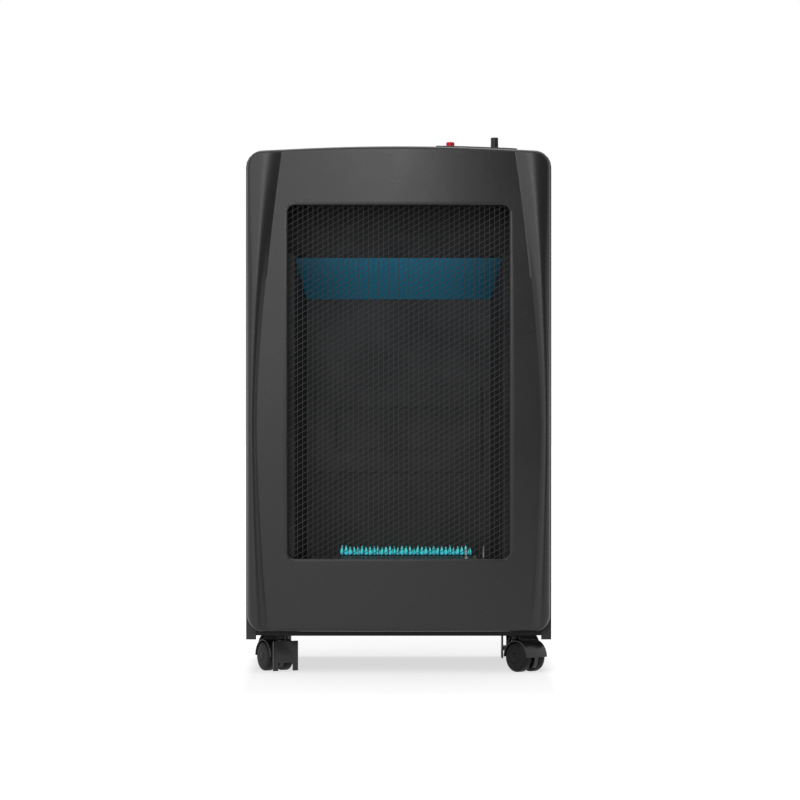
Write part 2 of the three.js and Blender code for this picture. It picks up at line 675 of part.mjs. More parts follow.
/** The rear cover: a pressed box, open in front and below, with vents and a hand hold. */
function rearCover() {
  const half = HALF - SHEET;
  const radius = CORNER_RADIUS + SHEET;
  const foot = FASCIA_BOTTOM;
  const round = 8;
  const steps = [
    [0, 0],
    [0.35, 0.7],
    [1, 1],
  ];
  const layers = steps.map(([inset, back], i) => {
    const from = i === 0 ? COVER_FRONT : REAR - round + round * steps[i - 1][1];
    const to = REAR - round + round * back;
    const shape = crownedOutline(half - inset * 3, SHEET + inset * 3, radius, foot);
    return drawnBack(shape, from, to);
  });
  const outside = join(...layers);
  const inside = drawnBack(
    crownedOutline(half - SHEET - 3, 2 * SHEET + 3, radius - SHEET, foot - SHEET),
    COVER_FRONT - SHEET,
    REAR - SHEET,
  );
  const roomy = drawnBack(
    crownedOutline(half - SHEET, 2 * SHEET, radius - SHEET, foot - SHEET),
    COVER_FRONT - SHEET,
    REAR - round - SHEET,
  );
  return cut(outside, inside, roomy, ...coverVents(), coverHandHold());
}

/** Slots in the cover's back, in two rows over the bottle and two at its foot. */
function coverVents() {
  const length = 62;
  const width = 6;
  const pitch = 16;
  const columns = [-110, -37, 37, 110];
  const slots = [];
  for (const foot of [FASCIA_BOTTOM + 45, CABINET_TOP - 180]) {
    for (let i = 0; i < 3; i++) {
      for (const x of columns) {
        const z = foot + i * pitch;
        slots.push(block([x - length / 2, REAR - 3 * SHEET, z], [x + length / 2, REAR + SHEET, z + width]));
      }
    }
  }
  return slots;
}

/** The hole in the cover's back that a hand goes in to lift it. */
function coverHandHold() {
  const half = 35;
  const height = 24;
  const foot = CABINET_TOP - 92;
  const shape = roundedRectangle(-half, foot, half, foot + height, height / 2 - 1);
  return drawnBack(shape, REAR - 3 * SHEET, REAR + SHEET, 4);
}

/** One hook on the tray's back edge; the cover's lower edge stands in it. */
function coverHook() {
  const half = 12;
  const back = REAR - COVER_CLEARANCE + GAP;
  const lipTop = FASCIA_BOTTOM - GAP;
  const shape = outline([
    [back, TRAY_BOTTOM + GAP],
    [REAR, TRAY_BOTTOM + GAP],
    [REAR, lipTop],
    [back + TRAY_SHEET, lipTop],
    [back + TRAY_SHEET, TRAY_BOTTOM + TRAY_RIM - GAP],
    [back, TRAY_BOTTOM + TRAY_RIM - GAP],
  ]);
  return drawnAcross(shape, -half, half);
}

/** The tray: a floor with a rim all round, sockets for the casters and a skirt in front. */
function baseTray() {
  const front = CABINET_FACE + SHEET + GAP;
  const step = CABINET_BACK - SHEET - GAP;
  const back = REAR - COVER_CLEARANCE;
  const narrow = INNER_HALF - 5;
  const steppedOutline = (inset) =>
    outline([
      [-INNER_HALF + inset, front + inset],
      [INNER_HALF - inset, front + inset],
      [INNER_HALF - inset, step - inset],
      [narrow - inset, step - inset],
      [narrow - inset, back - inset],
      [-narrow + inset, back - inset],
      [-narrow + inset, step - inset],
      [-INNER_HALF + inset, step - inset],
    ]);
  const full = raised(steppedOutline(0), TRAY_BOTTOM, TRAY_BOTTOM + TRAY_RIM);
  const floor = TRAY_BOTTOM + TRAY_SHEET;
  const hollow = raised(steppedOutline(TRAY_SHEET), floor, TRAY_BOTTOM + TRAY_RIM + SHEET);
  const skirt = drawnBack(
    outline([
      [-SKIRT_HALF - 6, TRAY_BOTTOM + TRAY_SHEET],
      [-SKIRT_HALF, TRAY_BOTTOM - SKIRT_DROP],
      [SKIRT_HALF, TRAY_BOTTOM - SKIRT_DROP],
      [SKIRT_HALF + 6, TRAY_BOTTOM + TRAY_SHEET],
    ]),
    front,
    front + TRAY_SHEET,
  );
  const places = [-1, 1].flatMap((a) => [-1, 1].map((b) => [a * CASTER_X, b * CASTER_Y, 0]));
  const socketTop = STEM_TOP + GAP + TRAY_SHEET;
  const sockets = places.map((at) => bar(STEM_RADIUS + 4, "z", at, TRAY_BOTTOM, socketTop, 12));
  const bores = places.map((at) => bar(STEM_RADIUS + GAP, "z", at, TRAY_BOTTOM - SHEET, STEM_TOP + GAP, 12));
  return cut(join(cut(full, hollow), skirt, ...sockets), ...bores);
}

// ---- Casters ----

/** The pin that the caster turns on: it stands in the tray's socket on a collar. */
function casterStem() {
  return turned(
    [
      [0, HUB_TOP - 20],
      [STEM_RADIUS, HUB_TOP - 20],
      [STEM_RADIUS, HUB_TOP + GAP],
      [COLLAR_RADIUS, HUB_TOP + GAP],
      [COLLAR_RADIUS, TRAY_BOTTOM - GAP],
      [STEM_RADIUS, TRAY_BOTTOM - GAP],
      [STEM_RADIUS, STEM_TOP - 1],
      [STEM_RADIUS - 1, STEM_TOP],
      [0, STEM_TOP],
    ],
    "z",
    [0, 0, 0],
    12,
  );
}

/** The hood: an arch over both wheels, a web between them, and a hub round the stem. */
function casterHood(braked) {
  const axle = [CASTER_TRAIL, 0, WHEEL_RADIUS];
  const arch = new THREE.Shape();
  arch.absarc(CASTER_TRAIL, WHEEL_RADIUS, HOOD_RADIUS, 0, Math.PI);
  arch.absarc(CASTER_TRAIL, WHEEL_RADIUS, HOOD_RADIUS - HOOD_WALL, Math.PI, 0, true);
  const shell = drawnBack(arch, -HOOD_HALF, HOOD_HALF, 7);
  const webHalf = 3.5;
  const web = bar(HOOD_RADIUS - 0.8, "y", axle, -webHalf, webHalf, 14);
  const boss = bar(AXLE_RADIUS + 3, "y", axle, -HUB_RADIUS, HUB_RADIUS, 12);
  const foot = block([-30, -30, -10], [60, 30, 6]);
  const hub = bar(HUB_RADIUS, "z", [0, 0, 0], 14, HUB_TOP, 12);
  const stemBore = bar(STEM_RADIUS + GAP, "z", [0, 0, 0], HUB_TOP - 20 - GAP, HUB_TOP + SHEET, 12);
  const axleBore = bar(AXLE_RADIUS + GAP, "y", axle, -30, 30, 12);
  const parts = [cut(web, foot), boss, hub];
  if (braked) parts.push(pedalLug());
  const lugBore = bar(PEDAL_PIN_RADIUS + GAP, "y", [PEDAL_PIN_X, 0, PEDAL_PIN_HEIGHT], -9, 9, 10);
  const whole = cut(join(shell, ...parts), stemBore, axleBore);
  return braked ? cut(whole, lugBore) : whole;
}

/** The eye on the hub that the brake pedal hangs in. */
function pedalLug() {
  const at = [PEDAL_PIN_X, 0, PEDAL_PIN_HEIGHT];
  const round = bar(PEDAL_EAR_RADIUS, "y", at, -PEDAL_LUG_HALF, PEDAL_LUG_HALF, 12);
  const low = [PEDAL_PIN_X, -PEDAL_LUG_HALF, PEDAL_PIN_HEIGHT - PEDAL_EAR_RADIUS];
  const high = [-STEM_RADIUS - GAP - 0.5, PEDAL_LUG_HALF, PEDAL_PIN_HEIGHT + PEDAL_EAR_RADIUS];
  return join(round, block(low, high));
}

/** The brake pedal: a plate with two prongs, a shoe for each wheel, and ears with stub pins. */
function brakePedal() {
  const half = PEDAL_WIDTH / 2;
  const foot = 1;
  const notch = 12;
  const prong = 7.4;
  const top = HUB_TOP - 1.8;
  const back = PEDAL_PIN_X - PEDAL_EAR_RADIUS - 0.5;
  const face = back - PEDAL_THICKNESS;
  const shape = outline([
    [-half, foot],
    [-half + prong, foot],
    [-half + prong, notch],
    [half - prong, notch],
    [half - prong, foot],
    [half, foot],
    [half, top],
    [-half, top],
  ]);
  const plate = drawnAcross(shape, face, back);
  const shoeTip = CASTER_TRAIL - WHEEL_RADIUS - 3.3;
  const parts = [plate];
  for (const side of [-1, 1]) {
    const near = side * 9;
    const far = side * 17;
    parts.push(block([back, Math.min(near, far), 12], [shoeTip, Math.max(near, far), 18]));
    const inner = side * (PEDAL_LUG_HALF + GAP);
    const outer = side * (PEDAL_LUG_HALF + GAP + 2);
    const [from, to] = [Math.min(inner, outer), Math.max(inner, outer)];
    const at = [PEDAL_PIN_X, 0, PEDAL_PIN_HEIGHT];
    parts.push(bar(PEDAL_EAR_RADIUS, "y", at, from, to, 12));
    const low = [back, from, PEDAL_PIN_HEIGHT - PEDAL_EAR_RADIUS];
    parts.push(block(low, [PEDAL_PIN_X, to, PEDAL_PIN_HEIGHT + PEDAL_EAR_RADIUS]));
    const stub = side * 1.2;
    parts.push(bar(PEDAL_PIN_RADIUS, "y", at, Math.min(stub, inner), Math.max(stub, inner), 10));
  }
  return join(...parts);
}

/** The axle: a pin through the hood's web and into both wheels. */
function casterAxle() {
  const half = WHEEL_INNER + WHEEL_WIDTH - 4;
  return bar(AXLE_RADIUS, "y", [CASTER_TRAIL, 0, WHEEL_RADIUS], -half, half, 12);
}

/** A wheel with a domed outer face and a blind bore, on the side of the caster that is asked for. */
function casterWheel(side) {
  const width = WHEEL_WIDTH;
  const profile = [
    [0, width - 3],
    [AXLE_RADIUS + GAP, width - 3],
    [AXLE_RADIUS + GAP, 0],
    [WHEEL_RADIUS - 1.5, 0],
    [WHEEL_RADIUS, 1.5],
    [WHEEL_RADIUS, width - 3],
    [WHEEL_RADIUS - 2, width - 0.8],
    [WHEEL_RADIUS * 0.5, width + 0.8],
    [0, width + 1.2],
  ].map(([radius, along]) => [radius, side * (WHEEL_INNER + along)]);
  return turned(profile, "y", [CASTER_TRAIL, 0, WHEEL_RADIUS], 16);
}

/** One caster with all its pieces, turned so that its wheels trail in a direction. */
function addCaster(corner, x, y, trailDegrees, braked) {
  const swivel = new THREE.Group();
  swivel.position.set(x, y, 0);
  swivel.rotation.z = (trailDegrees * Math.PI) / 180;
  heater.add(swivel);
  piece(`caster_stem_${corner}`, casterStem(), STEEL_BRIGHT, swivel);
  piece(`caster_hood_${corner}`, casterHood(braked), PLASTIC_BLACK, swivel);
  piece(`caster_axle_${corner}`, casterAxle(), STEEL_BRIGHT, swivel);
  piece(`caster_wheel_${corner}_a`, casterWheel(-1), PLASTIC_BLACK, swivel);
  piece(`caster_wheel_${corner}_b`, casterWheel(1), PLASTIC_BLACK, swivel);
  if (braked) piece(`brake_pedal_${corner}`, brakePedal(), PLASTIC_BLACK, swivel);
}

// ---- Burner chamber ----

/** Half width between the chamber's sides at a depth. */
function chamberHalf(y) {
  const share = (y - CHAMBER_FRONT) / CHAMBER_DEPTH;
  return CHAMBER_HALF_FRONT + (CHAMBER_HALF_BACK - CHAMBER_HALF_FRONT) * share;
}

/** One side of the chamber: a flange in front, then a wall that closes in towards the back. */
function chamberSide(side) {
  const thick = CHAMBER_SHEET;
  const slant = Math.hypot(CHAMBER_DEPTH, CHAMBER_HALF_FRONT - CHAMBER_HALF_BACK) / CHAMBER_DEPTH;
  const shape = outline([
    [CHAMBER_HALF_FRONT + CHAMBER_FLANGE, CHAMBER_FRONT],
    [CHAMBER_HALF_FRONT, CHAMBER_FRONT],
    [CHAMBER_HALF_BACK, CHAMBER_BACK],
    [CHAMBER_HALF_BACK + thick * slant, CHAMBER_BACK],
    [chamberHalf(CHAMBER_FRONT + thick) + thick * slant, CHAMBER_FRONT + thick],
    [CHAMBER_HALF_FRONT + CHAMBER_FLANGE, CHAMBER_FRONT + thick],
  ]);
  const wall = raised(shape, ON_SHELF, WINDOW_TOP - SIDE_TOP_DROP);
  if (side < 0) return wall.mirror([1, 0, 0]);
  const at = [0, BURNER_Y, BURNER_AXIS_HEIGHT];
  return cut(wall, bar(VENTURI_RADIUS + 1.5, "x", at, CHAMBER_HALF_BACK - 9, HALF, 16));
}

/** The shelf that carries the chamber: from side panel to side panel, with a tongue under the guard. */
function chamberShelf() {
  const tongue = CHAMBER_HALF_FRONT + CHAMBER_FLANGE;
  const back = PARTITION_FRONT - GAP;
  const front = CABINET_FACE + SHEET + GAP;
  const shape = outline([
    [-INNER_HALF, back],
    [-INNER_HALF, front],
    [-tongue, front],
    [-tongue, CHAMBER_FRONT],
    [tongue, CHAMBER_FRONT],
    [tongue, front],
    [INNER_HALF, front],
    [INNER_HALF, back],
  ]);
  const floor = raised(shape, SHELF_HEIGHT, SHELF_TOP);
  const holes = [-1, 0, 1].map((i) => {
    const at = [PILOT_X + i * PILOT_SPACING, PILOT_Y, 0];
    return bar(3, "z", at, SHELF_HEIGHT - SHEET, SHELF_TOP + SHEET, 10);
  });
  return cut(floor, ...holes);
}

/** The chamber's back plate, pressed forward in a rectangle and back again inside it. */
function chamberBackPlate() {
  const front = CHAMBER_BACK + GAP;
  const plateHalf = CHAMBER_HALF_BACK + 8;
  const top = WINDOW_TOP - HOOD_TOP_DROP - HOOD_FALL + 20;
  const sheet = block([-plateHalf, front, ON_SHELF], [plateHalf, front + CHAMBER_SHEET, top]);
  const raisedEnd = EMBOSS_FOOT + EMBOSS_HEIGHT;
  const boss = drawnBack(
    roundedRectangle(-EMBOSS_HALF, EMBOSS_FOOT, EMBOSS_HALF, raisedEnd, 6),
    front - EMBOSS_DEPTH,
    front,
    3,
  );
  const recessHalf = EMBOSS_HALF - RECESS_SIDE_INSET;
  const recessFoot = EMBOSS_FOOT + RECESS_END_INSET;
  const recess = drawnBack(
    roundedRectangle(-recessHalf, recessFoot, recessHalf, raisedEnd - RECESS_END_INSET, 6),
    front - EMBOSS_DEPTH - SHEET,
    front - 0.5,
    3,
  );
  return cut(join(sheet, boss), recess);
}

/** The hood over the flames: a blued plate that leans forward to the guard. */
function hoodDeflector() {
  const top = WINDOW_TOP - HOOD_TOP_DROP;
  const foot = top - HOOD_FALL;
  const frontY = CHAMBER_FRONT + GAP;
  const backY = CHAMBER_BACK - CHAMBER_SHEET;
  const length = Math.hypot(backY - frontY, HOOD_FALL);
  const liftY = (CHAMBER_SHEET * HOOD_FALL) / length;
  const liftZ = (CHAMBER_SHEET * (backY - frontY)) / length;
  const shape = outline([
    [frontY, top],
    [backY, foot],
    [backY + liftY, foot + liftZ],
    [frontY + liftY, top + liftZ],
  ]);
  const plate = drawnAcross(shape, -HALF, HALF);
  const plan = outline([
    [-chamberHalf(frontY) + GAP, frontY],
    [chamberHalf(frontY) - GAP, frontY],
    [chamberHalf(CHAMBER_BACK) - GAP, CHAMBER_BACK],
    [-chamberHalf(CHAMBER_BACK) + GAP, CHAMBER_BACK],
  ]);
  return plate.intersect(raised(plan, foot - SHEET, top + 2 * SHEET));
}

/** The heat shield over the window, with a hole for the gas pipe. */
function topHeatShield() {
  const front = CABINET_FACE + SHEET + GAP;
  const back = PARTITION_FRONT + 18;
  const shieldTop = SHIELD_BOTTOM + CHAMBER_SHEET;
  const sheet = block([-INNER_HALF, front, SHIELD_BOTTOM], [INNER_HALF, back, shieldTop]);
  const at = [SUPPLY_X, BURNER_Y, 0];
  const hole = bar(PIPE_RADIUS + HOLE_MARGIN, "z", at, SHIELD_BOTTOM - SHEET, SHIELD_BOTTOM + 3 * SHEET, 12);
  return cut(sheet, hole);
}

/** The partition between the chamber and the bottle, narrower between the tray's rims. */
function bottlePartition() {
  const rimTop = TRAY_BOTTOM + TRAY_RIM + GAP;
  const narrow = INNER_HALF - TRAY_SHEET - GAP;
  const foot = TRAY_BOTTOM + TRAY_SHEET + GAP;
  const top = SHIELD_BOTTOM - GAP;
  const shape = outline([
    [-narrow, foot],
    [narrow, foot],
    [narrow, rimTop],
    [INNER_HALF, rimTop],
    [INNER_HALF, top],
    [-INNER_HALF, top],
    [-INNER_HALF, rimTop],
    [-narrow, rimTop],
  ]);
  return drawnBack(shape, PARTITION_FRONT, PARTITION_FRONT + SHEET);
}

// ---- Burner, pilot and pipes ----

/** The burner: a round tube closed at one end, drawn in to a venturi at the other, with a row of ports. */
function burnerTube() {
  const inner = BURNER_RADIUS - BURNER_WALL;
  const venturiInner = VENTURI_RADIUS - BURNER_WALL;
  const shoulder = BURNER_HALF - 6;
  const profile = [
    [0, -BURNER_HALF],
    [BURNER_RADIUS - 3, -BURNER_HALF],
    [BURNER_RADIUS, -BURNER_HALF + 3],
    [BURNER_RADIUS, shoulder],
    [VENTURI_RADIUS, shoulder + 8],
    [VENTURI_RADIUS, VENTURI_END],
    [venturiInner, VENTURI_END],
    [venturiInner, shoulder + 8],
    [inner, shoulder],
    [inner, -BURNER_HALF + 3],
    [inner - 3, -BURNER_HALF + BURNER_WALL],
    [0, -BURNER_HALF + BURNER_WALL],
  ];
  const tube = turned(profile, "x", [0, BURNER_Y, BURNER_AXIS_HEIGHT], 16);
  const ports = [];
  for (let i = 0; i < PORT_COUNT; i++) {
    const x = (i - (PORT_COUNT - 1) / 2) * PORT_PITCH;
    const low = [x - PORT_WIDTH / 2, BURNER_Y - 4, BURNER_AXIS_HEIGHT];
    ports.push(block(low, [x + PORT_WIDTH / 2, BURNER_Y + 4, BURNER_AXIS_HEIGHT + BURNER_RADIUS + 1]));
  }
  return cut(tube, ...ports);
}

/** One saddle that holds the burner over the shelf. */
function burnerSaddle(x) {
  const half = BURNER_RADIUS + 4;
  const low = [x - 2, BURNER_Y - half, ON_SHELF];
  const plate = block(low, [x + 2, BURNER_Y + half, BURNER_AXIS_HEIGHT - 3]);
  const at = [0, BURNER_Y, BURNER_AXIS_HEIGHT];
  return cut(plate, bar(BURNER_RADIUS + GAP, "x", at, x - 4, x + 4, 24));
}

/** The injector that blows gas into the venturi. */
function gasInjector() {
  const at = [0, BURNER_Y, BURNER_AXIS_HEIGHT];
  const body = hexagon(12, "x", at, VENTURI_END + 1, INJECTOR_END);
  const tip = bar(3, "x", at, VENTURI_END - 5, VENTURI_END + 1, 12);
  return join(body, tip);
}

/** The pilot burner on its bracket, with holes for the probe and the electrode beside it. */
function pilotBurner() {
  const half = PILOT_SPACING + 7;
  const plateBottom = ON_SHELF + 10.5;
  const legFront = BURNER_Y - BURNER_RADIUS - 2.4;
  const plate = block(
    [PILOT_X - half, PILOT_Y - 6, plateBottom],
    [PILOT_X + half, legFront + CHAMBER_SHEET, plateBottom + CHAMBER_SHEET],
  );
  const leg = block(
    [PILOT_X - half, legFront, ON_SHELF],
    [PILOT_X + half, legFront + CHAMBER_SHEET, plateBottom + CHAMBER_SHEET],
  );
  const head = turned(
    [
      [0, plateBottom],
      [4, plateBottom],
      [4, plateBottom + 16],
      [3, plateBottom + 20],
      [0, plateBottom + 20],
    ],
    "z",
    [PILOT_X, PILOT_Y, 0],
    12,
  );
  const flameHole = bar(1.5, "y", [PILOT_X, PILOT_Y, plateBottom + 15], -10, 10, 8);
  const probeHole = bar(2.5 + GAP, "z", [PILOT_X + PILOT_SPACING, PILOT_Y, 0], ON_SHELF, SHIELD_BOTTOM, 12);
  const sparkHole = bar(3 + GAP, "z", [PILOT_X - PILOT_SPACING, PILOT_Y, 0], ON_SHELF, SHIELD_BOTTOM, 12);
  return cut(join(plate, leg, head), flameHole, probeHole, sparkHole);
}

/** The thermocouple probe beside the pilot. */
function thermocouple() {
  const foot = ON_SHELF + 5.5;
  return turned(
    [
      [0, foot],
      [2.5, foot],
      [2.5, foot + 30],
      [1.6, foot + 33],
      [1.6, foot + 38],
      [0, foot + 38],
    ],
    "z",
    [PILOT_X + PILOT_SPACING, PILOT_Y, 0],
    12,
  );
}

/** The spark electrode: a ceramic sleeve with its wire. */
function sparkElectrode() {
  const foot = ON_SHELF + 3;
  return turned(
    [
      [0, foot],
      [1.5, foot],
      [1.5, foot + 4],
      [3, foot + 4],
      [3, foot + 24],
      [1.2, foot + 25],
      [1.2, foot + 38],
      [0, foot + 38],
    ],
    "z",
    [PILOT_X - PILOT_SPACING, PILOT_Y, 0],
    12,
  );
}

/** The main gas pipe: out of the valve, down beside the chamber and in to the injector. */
function supplyPipe() {
  const high = VALVE_BOTTOM + 14;
  return pipe(
    [
      [VALVE_OUTLET, BURNER_Y, high],
      [SUPPLY_X, BURNER_Y, high],
      [SUPPLY_X, BURNER_Y, BURNER_AXIS_HEIGHT],
      [INJECTOR_END + GAP, BURNER_Y, BURNER_AXIS_HEIGHT],
    ],
    PIPE_RADIUS,
    9,
    8,
  );
}

/** The pilot's own gas pipe, under the shelf and up in front of it. */
function pilotPipe() {
  const low = SHELF_HEIGHT - 18;
  const high = VALVE_BOTTOM + 6;
  const turnY = CONTROL_Y + 2;
  return pipe(
    [
      [PILOT_X, PILOT_Y, ON_SHELF + 10.5 - GAP],
      [PILOT_X, PILOT_Y, low],
      [PILOT_PIPE_X, PILOT_Y, low],
      [PILOT_PIPE_X, PILOT_Y, high],
      [PILOT_PIPE_X, turnY, high],
      [VALVE_OUTLET, turnY, high],
    ],
    2,
    7,
    6,
  );
}

/** The probe's lead, back to the valve that it holds open. */
function thermocoupleLead() {
  const low = SHELF_HEIGHT - 10;
  const high = VALVE_BOTTOM + 1.8;
  const turnY = CONTROL_Y + 8;
  return pipe(
    [
      [PILOT_X + PILOT_SPACING, PILOT_Y, ON_SHELF + 5.5 - GAP],
      [PILOT_X + PILOT_SPACING, PILOT_Y, low],
      [THERMOCOUPLE_LEAD_X, PILOT_Y, low],
      [THERMOCOUPLE_LEAD_X, PILOT_Y, high],
      [THERMOCOUPLE_LEAD_X, turnY, high],
      [VALVE_OUTLET, turnY, high],
    ],
    1.5,
    7,
    6,
  );
}

/** The igniter's lead, from under the igniter to the spark electrode. */
function sparkLead() {
  const low = SHELF_HEIGHT - 25;
  const high = SHIELD_BOTTOM + CHAMBER_SHEET + 2.8;
  const frontY = CONTROL_Y - 20;
  return pipe(
    [
      [PILOT_X - PILOT_SPACING, PILOT_Y, ON_SHELF + 3 - GAP],
      [PILOT_X - PILOT_SPACING, PILOT_Y, low],
      [SPARK_LEAD_X, PILOT_Y, low],
      [SPARK_LEAD_X, PILOT_Y, high],
      [SPARK_LEAD_X, frontY, high],
      [BUTTON_X, frontY, high],
      [BUTTON_X, CONTROL_Y, high],
      [BUTTON_X, CONTROL_Y, IGNITER_FOOT - GAP],
    ],
    1.8,
    5,
    6,
  );
}

// ---- Controls ----

/** The raised black plate round the controls; it follows the crown of the top. */
function controlPlate() {
  const steps = 8;
  const upper = [];
  const lower = [];
  for (let i = 0; i <= steps; i++) {
    const x = PLATE_LEFT + ((PLATE_RIGHT - PLATE_LEFT) * i) / steps;
    upper.push([x, crown(x) + PLATE_THICKNESS]);
    lower.push([x, crown(x) + GAP]);
  }
  const y0 = CONTROL_Y - PLATE_HALF_DEPTH;
  const y1 = CONTROL_Y + PLATE_HALF_DEPTH;
  const bent = drawnBack(outline([...lower, ...upper.reverse()]), y0, y1);
  const plan = roundedRectangle(PLATE_LEFT, y0, PLATE_RIGHT, y1, 6);
  const low = CABINET_TOP - 3 * CROWN_DROP;
  const high = CABINET_TOP + 2 * PLATE_THICKNESS;
  const knobHole = bar(KNOB_DISC_RADIUS + RUNNING, "z", [KNOB_X, CONTROL_Y, 0], low, high, 28);
  const buttonHole = bar(BUTTON_RADIUS + 0.4, "z", [BUTTON_X, CONTROL_Y, 0], low, high, 20);
  return cut(bent.intersect(raised(plan, low, high, 4)), knobHole, buttonHole);
}

/** The bracket under the top that holds the valve and the igniter. */
function controlBracket() {
  const left = PLATE_LEFT + 4;
  const right = PLATE_RIGHT - 6;
  const y0 = CONTROL_Y - PLATE_HALF_DEPTH + 4;
  const y1 = CONTROL_Y + PLATE_HALF_DEPTH - 4;
  const shelf = block([left, y0, BRACKET_BOTTOM], [right, y1, BRACKET_TOP]);
  const under = (x) => crown(x) - SHEET - GAP;
  const leftEnd = left + CHAMBER_SHEET;
  const leftEar = block([left, y0, BRACKET_BOTTOM], [leftEnd, y1, under(leftEnd)]);
  const rightEar = block([right - CHAMBER_SHEET, y0, BRACKET_BOTTOM], [right, y1, under(right)]);
  const holes = [KNOB_X, BUTTON_X].map((x) => {
    const at = [x, CONTROL_Y, 0];
    return bar(NECK_RADIUS + GAP, "z", at, BRACKET_BOTTOM - SHEET, BRACKET_TOP + SHEET, 20);
  });
  return cut(join(shelf, leftEar, rightEar), ...holes);
}

/** The knob: a disc flush in the plate, with a bar on it to turn it by. */
function gasKnob() {
  const disc = turned(
    [
      [0, DISC_BOTTOM],
      [KNOB_DISC_RADIUS, DISC_BOTTOM],
      [KNOB_DISC_RADIUS, DISC_TOP - 1],
      [KNOB_DISC_RADIUS - 1, DISC_TOP],
      [0, DISC_TOP],
    ],
    "z",
    [KNOB_X, CONTROL_Y, 0],
    28,
  );
  const half = KNOB_GRIP_WIDTH / 2;
  const long = KNOB_GRIP_LENGTH / 2;
  const gripLow = [KNOB_X - half, CONTROL_Y - long];
  const shape = roundedRectangle(...gripLow, KNOB_X + half, CONTROL_Y + long, half - 1);
  const grip = raised(shape, DISC_TOP - 1, PLATE_TOP_AT_KNOB + KNOB_GRIP_HEIGHT, 4);
  const at = [KNOB_X, CONTROL_Y, 0];
  const bore = bar(SPINDLE_RADIUS + GAP, "z", at, DISC_BOTTOM - SHEET, SPINDLE_TOP + GAP, 16);
  return cut(join(disc, grip), bore);
}

/** The valve's spindle, which the knob pushes down and turns on. */
function valveSpindle() {
  return bar(SPINDLE_RADIUS, "z", [KNOB_X, CONTROL_Y, 0], VALVE_TOP + 2, SPINDLE_TOP, 16);
}

/** The gas valve: a brass body under the bracket with a threaded neck through it. */
function gasValve() {
  const at = [KNOB_X, CONTROL_Y, 0];
  const left = KNOB_X - VALVE_HALF;
  const right = KNOB_X + VALVE_HALF;
  const body = block([left, VALVE_FRONT, VALVE_BOTTOM], [right, VALVE_BACK, VALVE_TOP]);
  const shoulder = bar(NECK_RADIUS + 3, "z", at, VALVE_TOP - 1, BRACKET_BOTTOM - GAP, 20);
  const neck = bar(NECK_RADIUS, "z", at, VALVE_TOP, BRACKET_BOTTOM + 8, 20);
  const magnet = bar(8, "y", [KNOB_X, VALVE_FRONT, VALVE_BOTTOM + 14], -6, 1, 16);
  const bore = bar(SPINDLE_RADIUS + GAP, "z", at, VALVE_TOP - 5, BRACKET_BOTTOM + 10, 16);
  return cut(join(body, shoulder, neck, magnet), bore);
}

/** A nut on a neck over the bracket. */
function neckNut(x) {
  const at = [x, CONTROL_Y, 0];
  const body = hexagon(22, "z", at, BRACKET_TOP + GAP, BRACKET_TOP + 5);
  return cut(body, bar(NECK_RADIUS + GAP, "z", at, BRACKET_TOP - SHEET, BRACKET_TOP + 7, 20));
}

/** The barbed nozzle at the valve's back that the bottle's hose is pushed on. */
function inletNozzle() {
  const start = VALVE_BACK + GAP;
  const profile = [
    [0, start],
    [6, start],
    [6, start + 6],
    [3.6, start + 6],
  ];
  for (let i = 0; i < 3; i++) profile.push([4.8, start + 13 + i * 7], [3.6, start + 14 + i * 7]);
  profile.push([3.6, start + 32], [1.5, start + 32], [1.5, start + 1], [0, start + 1]);
  return turned(profile, "y", [KNOB_X, 0, VALVE_BOTTOM + 12], 14);
}

/** The igniter's body, hung in the bracket with its mouth under the plate. */
function piezoIgniter() {
  const boreFoot = IGNITER_TOP - 12.5;
  return turned(
    [
      [0, IGNITER_FOOT],
      [3, IGNITER_FOOT],
      [9.5, IGNITER_FOOT + 3],
      [9.5, BRACKET_BOTTOM - GAP],
      [NECK_RADIUS, BRACKET_BOTTOM - GAP],
      [NECK_RADIUS, IGNITER_TOP],
      [BUTTON_RADIUS + 0.4, IGNITER_TOP],
      [BUTTON_RADIUS + 0.4, boreFoot],
      [0, boreFoot],
    ],
    "z",
    [BUTTON_X, CONTROL_Y, 0],
    20,
  );
}

/** The red button that strikes the spark. */
function igniterButton() {
  const top = PLATE_TOP_AT_BUTTON + BUTTON_HEIGHT;
  const foot = IGNITER_TOP - 12.5 + BUTTON_TRAVEL + 0.5;
  return turned(
    [
      [0, foot],
      [BUTTON_RADIUS, foot],
      [BUTTON_RADIUS, top - 1],
      [BUTTON_RADIUS - 1, top],
      [0, top],
    ],
    "z",
    [BUTTON_X, CONTROL_Y, 0],
    20,
  );
}

// ---- The heater put together ----

function addCabinet() {
  piece("base_tray", baseTray(), STEEL_BLACK);
  piece("side_panel_left", sidePanel(-1), STEEL_DARK);
  piece("side_panel_right", sidePanel(1), STEEL_DARK);
  piece("top_panel", topPanel(), STEEL_DARK);
  piece("front_fascia", frontFascia(), STEEL_DARK);
  piece("guard_mesh", guardMesh(), STEEL_BLACK);
  piece("rear_cover", rearCover(), STEEL_DARK);
  piece("cover_hook_left", coverHook(), STEEL_GREY).position.x = HOOK_INSET - HALF;
  piece("cover_hook_right", coverHook(), STEEL_GREY).position.x = HALF - HOOK_INSET;
}

function addChamber() {
  piece("chamber_shelf", chamberShelf(), STEEL_GREY);
  piece("chamber_side_left", chamberSide(-1), STEEL_GREY);
  piece("chamber_side_right", chamberSide(1), STEEL_GREY);
  piece("chamber_back_plate", chamberBackPlate(), STEEL_GREY);
  piece("hood_deflector", hoodDeflector(), STEEL_BLUE);
  piece("top_heat_shield", topHeatShield(), STEEL_GREY);
  piece("bottle_partition", bottlePartition(), STEEL_GREY);
}

